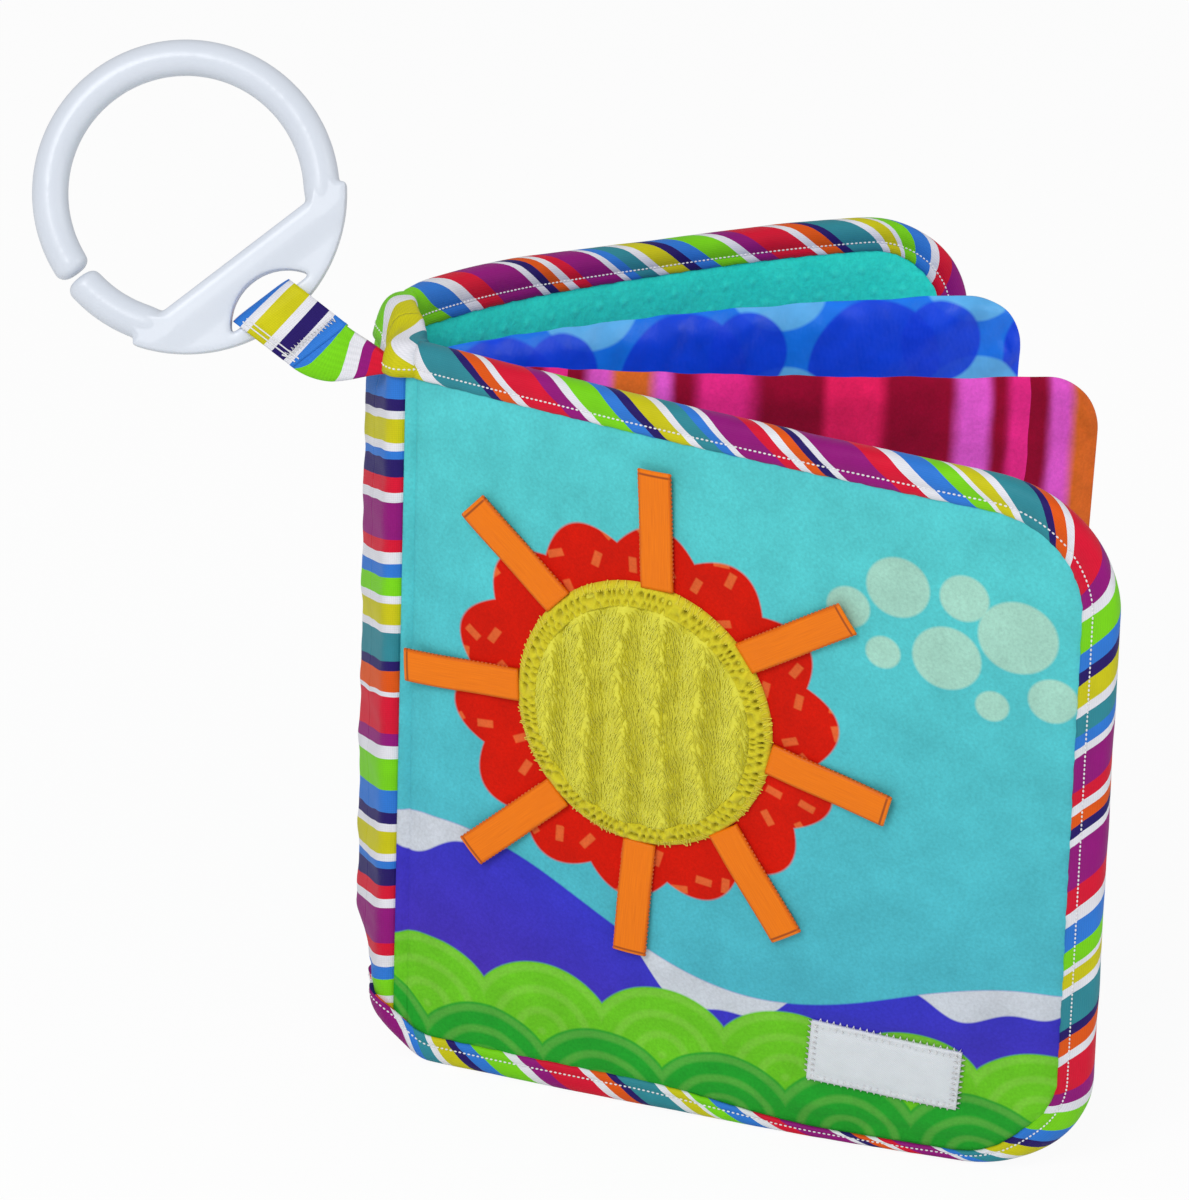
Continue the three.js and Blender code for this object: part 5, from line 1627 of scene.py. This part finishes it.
def make_loop(colours, sizes):
    striped = material_named("strap_cotton", strap_material, colours, sizes)
    thread = thread_named("topstitch_thread", colours.thread)
    tail, ply, flat = 10.5 * MM, 1.1 * MM, 1.4 * MM
    eye = math.hypot(1.6 * MM, 2.5 * MM) + 0.3 * MM
    outer = eye + ply
    skew = math.tan(math.radians(15))
    touch = math.acos(flat / tail)
    # The two plies' outer line, from the end of one round the bar to the end of the other
    arc = [(outer * math.cos(a), outer * math.sin(a))
           for a in np.linspace(-touch - flat / tail, touch + flat / tail, 26)]
    line = [(-tail - 0.2 * MM, -flat), (-tail + 1 * MM, -flat * 1.04), *arc,
            (-tail + 1 * MM, flat * 1.04), (-tail - 0.2 * MM, flat)]
    line, run = spaced(line, 90)
    tangent = np.gradient(line, axis=0)
    tangent /= np.linalg.norm(tangent, axis=1, keepdims=True)
    inward = np.stack([-tangent[:, 1], tangent[:, 0]], -1)
    inner_line = line + inward * (ply * 0.92)
    from_fold = np.abs(run - run[-1] / 2)
    wides = np.linspace(-0.5, 0.5, 17) * STRAP_WIDTH

    def placed(profile, wide):
        x = -wide[None, :] - skew * profile[:, 0:1]
        y = np.repeat(profile[:, 1:2], len(wide), 1)
        z = np.repeat(profile[:, 0:1], len(wide), 1)
        return in_ring_frame(np.stack([x, y, z], -1))

    rolled = 0.25 * MM * (np.abs(wides) / (STRAP_WIDTH / 2)) ** 6
    outer_points = placed(line, wides)
    inner_points = placed(inner_line, wides)
    outer_points = outer_points + (inner_points - outer_points) * (rolled / ply)[None, :, None]
    cloth = np.stack(np.broadcast_arrays(from_fold[:, None], wides[None, :]), -1)
    piece = make_piece("loop_strap", slab(outer_points, inner_points, cloth), striped)
    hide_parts("loop_strap")
    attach(piece, "loop")

    # The neck, drawn in from the strap's flat end to its seam on the spine
    turn = np.array(RING_TO_ROOT)
    start = in_ring_frame([skew * (tail - 0.6 * MM), 0, -(tail - 0.6 * MM)])
    control = in_ring_frame([skew * (tail + 4 * MM), 0, -(tail + 4 * MM)])
    tucked = np.array([-2.6, -8.5, 158.8]) * MM
    square = np.array([-7.5, -4.0, 160.0]) * MM
    bar, upright = turn[:3, 0], np.array([0.2, -0.1, 0.97])
    rows, cloth_rows = [], []
    fold_run = run[-1] / 2 - 0.8 * MM
    ts = np.linspace(0, 1, 34)
    path = [(1 - t) ** 3 * start + 3 * (1 - t) ** 2 * t * control
            + 3 * (1 - t) * t * t * square + t ** 3 * tucked for t in ts]
    steps = np.concatenate([[0], np.cumsum(np.linalg.norm(np.diff(path, axis=0), axis=1))])
    around = np.linspace(0, 2 * math.pi, 33)
    for t, centre, step in zip(ts, path, steps):
        onward = (3 * (1 - t) ** 2 * (control - start) + 6 * (1 - t) * t * (square - control)
                  + 3 * t * t * (tucked - square))
        onward = onward / np.linalg.norm(onward)
        wide = bar * (1 - t) + upright * t
        wide = wide - onward * wide.dot(onward) * min(t * 3, 1)
        wide = wide / np.linalg.norm(wide)
        thick = np.cross(onward, wide)
        thick = thick / np.linalg.norm(thick)
        half_width = (STRAP_WIDTH + (NECK_WIDTH - STRAP_WIDTH) * t ** 1.5) / 2
        half_thick = (1.18 - 0.2 * math.sin(math.pi * t)) * MM
        gather = 0.3 * MM * math.sin(math.pi * min(t * 1.3, 1))
        ring = []
        for a in around[:-1]:
            q = math.copysign(abs(math.cos(a)) ** 0.35, math.cos(a))
            r = math.copysign(abs(math.sin(a)) ** 0.45, math.sin(a))
            fold = gather * math.sin(q * 7.5 + t * 3) * abs(r)
            ring.append(centre + wide * half_width * q + thick * (half_thick * r + fold))
        rows.append(ring)
        cloth_rows.append([(fold_run + step, math.cos(a) * half_width) for a in around])
    neck_shape = band(np.array(rows), np.array(cloth_rows), around=True, caps=True)
    neck = make_piece("loop_neck", neck_shape, striped)
    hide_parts("loop_strap")
    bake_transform(neck)

    # Bar tack across both plies behind the bar, and two rows of topstitch along one edge
    def on_ply(back_from_bar, wide, side, lift=0.15 * MM):
        k = int(np.argmin(np.abs(line[: len(line) // 2, 0] + back_from_bar)))
        y = abs(line[k, 1]) + lift
        return in_ring_frame([-wide + skew * back_from_bar, side * y, -back_from_bar])

    lines = []
    for side in (-1, 1):
        lines.append([on_ply(8.1 * MM + (0.6 * MM if k % 2 else -0.6 * MM), wide, side)
                      for k, wide in enumerate(np.linspace(-6.4, 6.4, 33) * MM)])
    tack = along_lines("loop_bar_tack", lines, thread_tree(), thread, Radius=0.2 * MM, Sides=6)
    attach(tack, "loop")
    rows_of_stitch = []
    for side in (-1, 1):
        for wide in (5.9, 4.9):
            rows_of_stitch.append([on_ply(b * MM, wide * MM, side) for b in np.linspace(-2.5, 10.2, 40)])
    edge_stitch = along_lines("loop_topstitch", rows_of_stitch, thread_tree(), thread,
                              Radius=0.15 * MM, Sides=6)
    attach(edge_stitch, "loop")


# Studio

# The camera of the photograph, fitted once: its place and its turn in metres, and its focal length in pixels
PHOTO_WIDTH = 1189
FOCAL_PIXELS = 4228.3
CAMERA_PLACE = Vector((-0.189182, -0.799946, 0.455007))
CAMERA_TURN = Matrix(((0.96322118, -0.26628727, 0.03600086), (0.07266668, 0.38711839, 0.91916207),
                      (-0.25869775, -0.8827403, 0.39223084))).transposed()
FLOOR_HALF = 3.0


def make_studio(colours, sizes):
    """Pale floor, soft light from all round with a broad key lamp, and the camera."""
    scene = bpy.context.scene
    scene.view_settings.view_transform = "Standard"
    world = bpy.data.worlds.new("studio")
    world.use_nodes = True
    scene.world = world
    nodes, links = world.node_tree.nodes, world.node_tree.links
    light_path = nodes.new("ShaderNodeLightPath")
    seen = nodes.new("ShaderNodeBackground")
    seen.inputs["Color"].default_value = (1, 1, 1, 1)
    around = nodes["Background"]
    around.inputs["Color"].default_value = (1, 1, 1, 1)
    around.inputs["Strength"].default_value = 0.52
    mixed = nodes.new("ShaderNodeMixShader")
    links.new(light_path.outputs["Is Camera Ray"], mixed.inputs[0])
    links.new(around.outputs[0], mixed.inputs[1])
    links.new(seen.outputs[0], mixed.inputs[2])
    links.new(mixed.outputs[0], nodes["World Output"].inputs["Surface"])

    mesh = bpy.data.meshes.new("floor")
    corners = [(x * FLOOR_HALF, y * FLOOR_HALF, 0) for x, y in ((-1, -1), (1, -1), (1, 1), (-1, 1))]
    mesh.from_pydata(corners, [], [(0, 1, 2, 3)])
    floor = bpy.data.objects.new("floor", mesh)
    scene.collection.objects.link(floor)
    material = bpy.data.materials.new("pale_floor")
    material.use_nodes = True
    nodes, links = material.node_tree.nodes, material.node_tree.links
    shader = nodes["Principled BSDF"]
    shader.inputs["Base Color"].default_value = (0.9, 0.9, 0.9, 1)
    shader.inputs["Roughness"].default_value = 0.9
    glow = nodes.new("ShaderNodeEmission")
    glow.inputs["Color"].default_value = (1, 1, 1, 1)
    light_path = nodes.new("ShaderNodeLightPath")
    share = nodes.new("ShaderNodeMath")
    share.operation = "MULTIPLY"
    share.inputs[1].default_value = 0.93
    mixed = nodes.new("ShaderNodeMixShader")
    links.new(light_path.outputs["Is Camera Ray"], share.inputs[0])
    links.new(share.outputs[0], mixed.inputs[0])
    links.new(shader.outputs[0], mixed.inputs[1])
    links.new(glow.outputs[0], mixed.inputs[2])
    links.new(mixed.outputs[0], nodes["Material Output"].inputs["Surface"])
    mesh.materials.append(material)

    aim = Vector((0.05, -0.03, 0.1))
    for name, place, size, power in (("key", (-0.75, -1.0, 1.15), 0.8, 13.0),
                                     ("fill", (1.2, -0.9, 0.7), 1.0, 4.0)):
        lamp = bpy.data.lights.new(name, "AREA")
        lamp.shape, lamp.size, lamp.energy = "DISK", size, power
        lamp_object = bpy.data.objects.new(name, lamp)
        lamp_object.location = place
        lamp_object.rotation_mode = "QUATERNION"
        lamp_object.rotation_quaternion = (aim - Vector(place)).to_track_quat("-Z", "Y")
        scene.collection.objects.link(lamp_object)

    lens = bpy.data.cameras.new("camera")
    lens.sensor_fit, lens.sensor_width, lens.lens = "HORIZONTAL", 36, 36 * FOCAL_PIXELS / PHOTO_WIDTH
    lens.clip_start, lens.clip_end = 0.05, 20
    camera = bpy.data.objects.new("camera", lens)
    camera.matrix_world = Matrix.Translation(CAMERA_PLACE) @ CAMERA_TURN.to_4x4()
    scene.collection.objects.link(camera)
    scene.camera = camera


# Add-on


class Maker:
    """What the operators share."""

    bl_options = {"REGISTER", "UNDO"}
    make = None

    def execute(self, context):
        scene = context.scene
        type(self).make(scene.book_colours, scene.book_sizes)
        return {"FINISHED"}


class BOOK_OT_studio(Maker, bpy.types.Operator):
    """Set up the floor, the lamps and the camera"""

    bl_idname, bl_label = "book.studio", "Studio"
    make = staticmethod(make_studio)


class BOOK_OT_covers(Maker, bpy.types.Operator):
    """Make the padded faces and linings of both covers"""

    bl_idname, bl_label = "book.covers", "Covers"
    make = staticmethod(make_covers)


class BOOK_OT_bindings(Maker, bpy.types.Operator):
    """Sew the striped binding round both covers, with its topstitch"""

    bl_idname, bl_label = "book.bindings", "Bindings"
    make = staticmethod(make_bindings)


class BOOK_OT_spine(Maker, bpy.types.Operator):
    """Make the spine's striped cloth, its lining and the binding over its two ends"""

    bl_idname, bl_label = "book.spine", "Spine"
    make = staticmethod(make_spine)


class BOOK_OT_leaves(Maker, bpy.types.Operator):
    """Make the padded velour leaf and satin leaf"""

    bl_idname, bl_label = "book.leaves", "Leaves"
    make = staticmethod(make_leaves)


class BOOK_OT_disc(Maker, bpy.types.Operator):
    """Make the ribbed plush disc with its strands and overlocked edge"""

    bl_idname, bl_label = "book.disc", "Plush disc"
    make = staticmethod(make_disc)


class BOOK_OT_ribbon_tabs(Maker, bpy.types.Operator):
    """Make the eight ribbon tabs round the disc"""

    bl_idname, bl_label = "book.ribbon_tabs", "Ribbon tabs"
    make = staticmethod(make_ribbon_tabs)


class BOOK_OT_label(Maker, bpy.types.Operator):
    """Make the woven label with its zigzag"""

    bl_idname, bl_label = "book.label", "Label"
    make = staticmethod(make_label)


class BOOK_OT_loop(Maker, bpy.types.Operator):
    """Make the fabric loop with its bar tack and topstitch"""

    bl_idname, bl_label = "book.loop", "Fabric loop"
    make = staticmethod(make_loop)


class BOOK_OT_ring(Maker, bpy.types.Operator):
    """Mould the link ring"""

    bl_idname, bl_label = "book.ring", "Link ring"
    make = staticmethod(make_ring)


OPERATORS = (BOOK_OT_studio, BOOK_OT_covers, BOOK_OT_bindings, BOOK_OT_spine, BOOK_OT_leaves, BOOK_OT_disc,
             BOOK_OT_ribbon_tabs, BOOK_OT_label, BOOK_OT_loop, BOOK_OT_ring)


class BOOK_PT_panel(bpy.types.Panel):
    """Lists the book's makers and settings"""

    bl_label = "Soft activity book"
    bl_space_type, bl_region_type, bl_category = "VIEW_3D", "UI", "Book"

    def draw(self, context):
        for operator in OPERATORS:
            self.layout.operator(operator.bl_idname)
        for settings in (context.scene.book_sizes, context.scene.book_colours):
            for key in settings.bl_rna.properties.keys():
                if key not in {"rna_type", "name"}:
                    self.layout.prop(settings, key)


CLASSES = (BookColours, BookSizes, *OPERATORS, BOOK_PT_panel)


def register():
    for item in CLASSES:
        bpy.utils.register_class(item)
    bpy.types.Scene.book_colours = bpy.props.PointerProperty(type=BookColours)
    bpy.types.Scene.book_sizes = bpy.props.PointerProperty(type=BookSizes)


def unregister():
    del bpy.types.Scene.book_colours, bpy.types.Scene.book_sizes
    for item in reversed(CLASSES):
        bpy.utils.unregister_class(item)


def main():
    register()
    for operator in OPERATORS:
        group, name = operator.bl_idname.split(".")
        getattr(getattr(bpy.ops, group), name)()


if __name__ == "__main__":
    main()
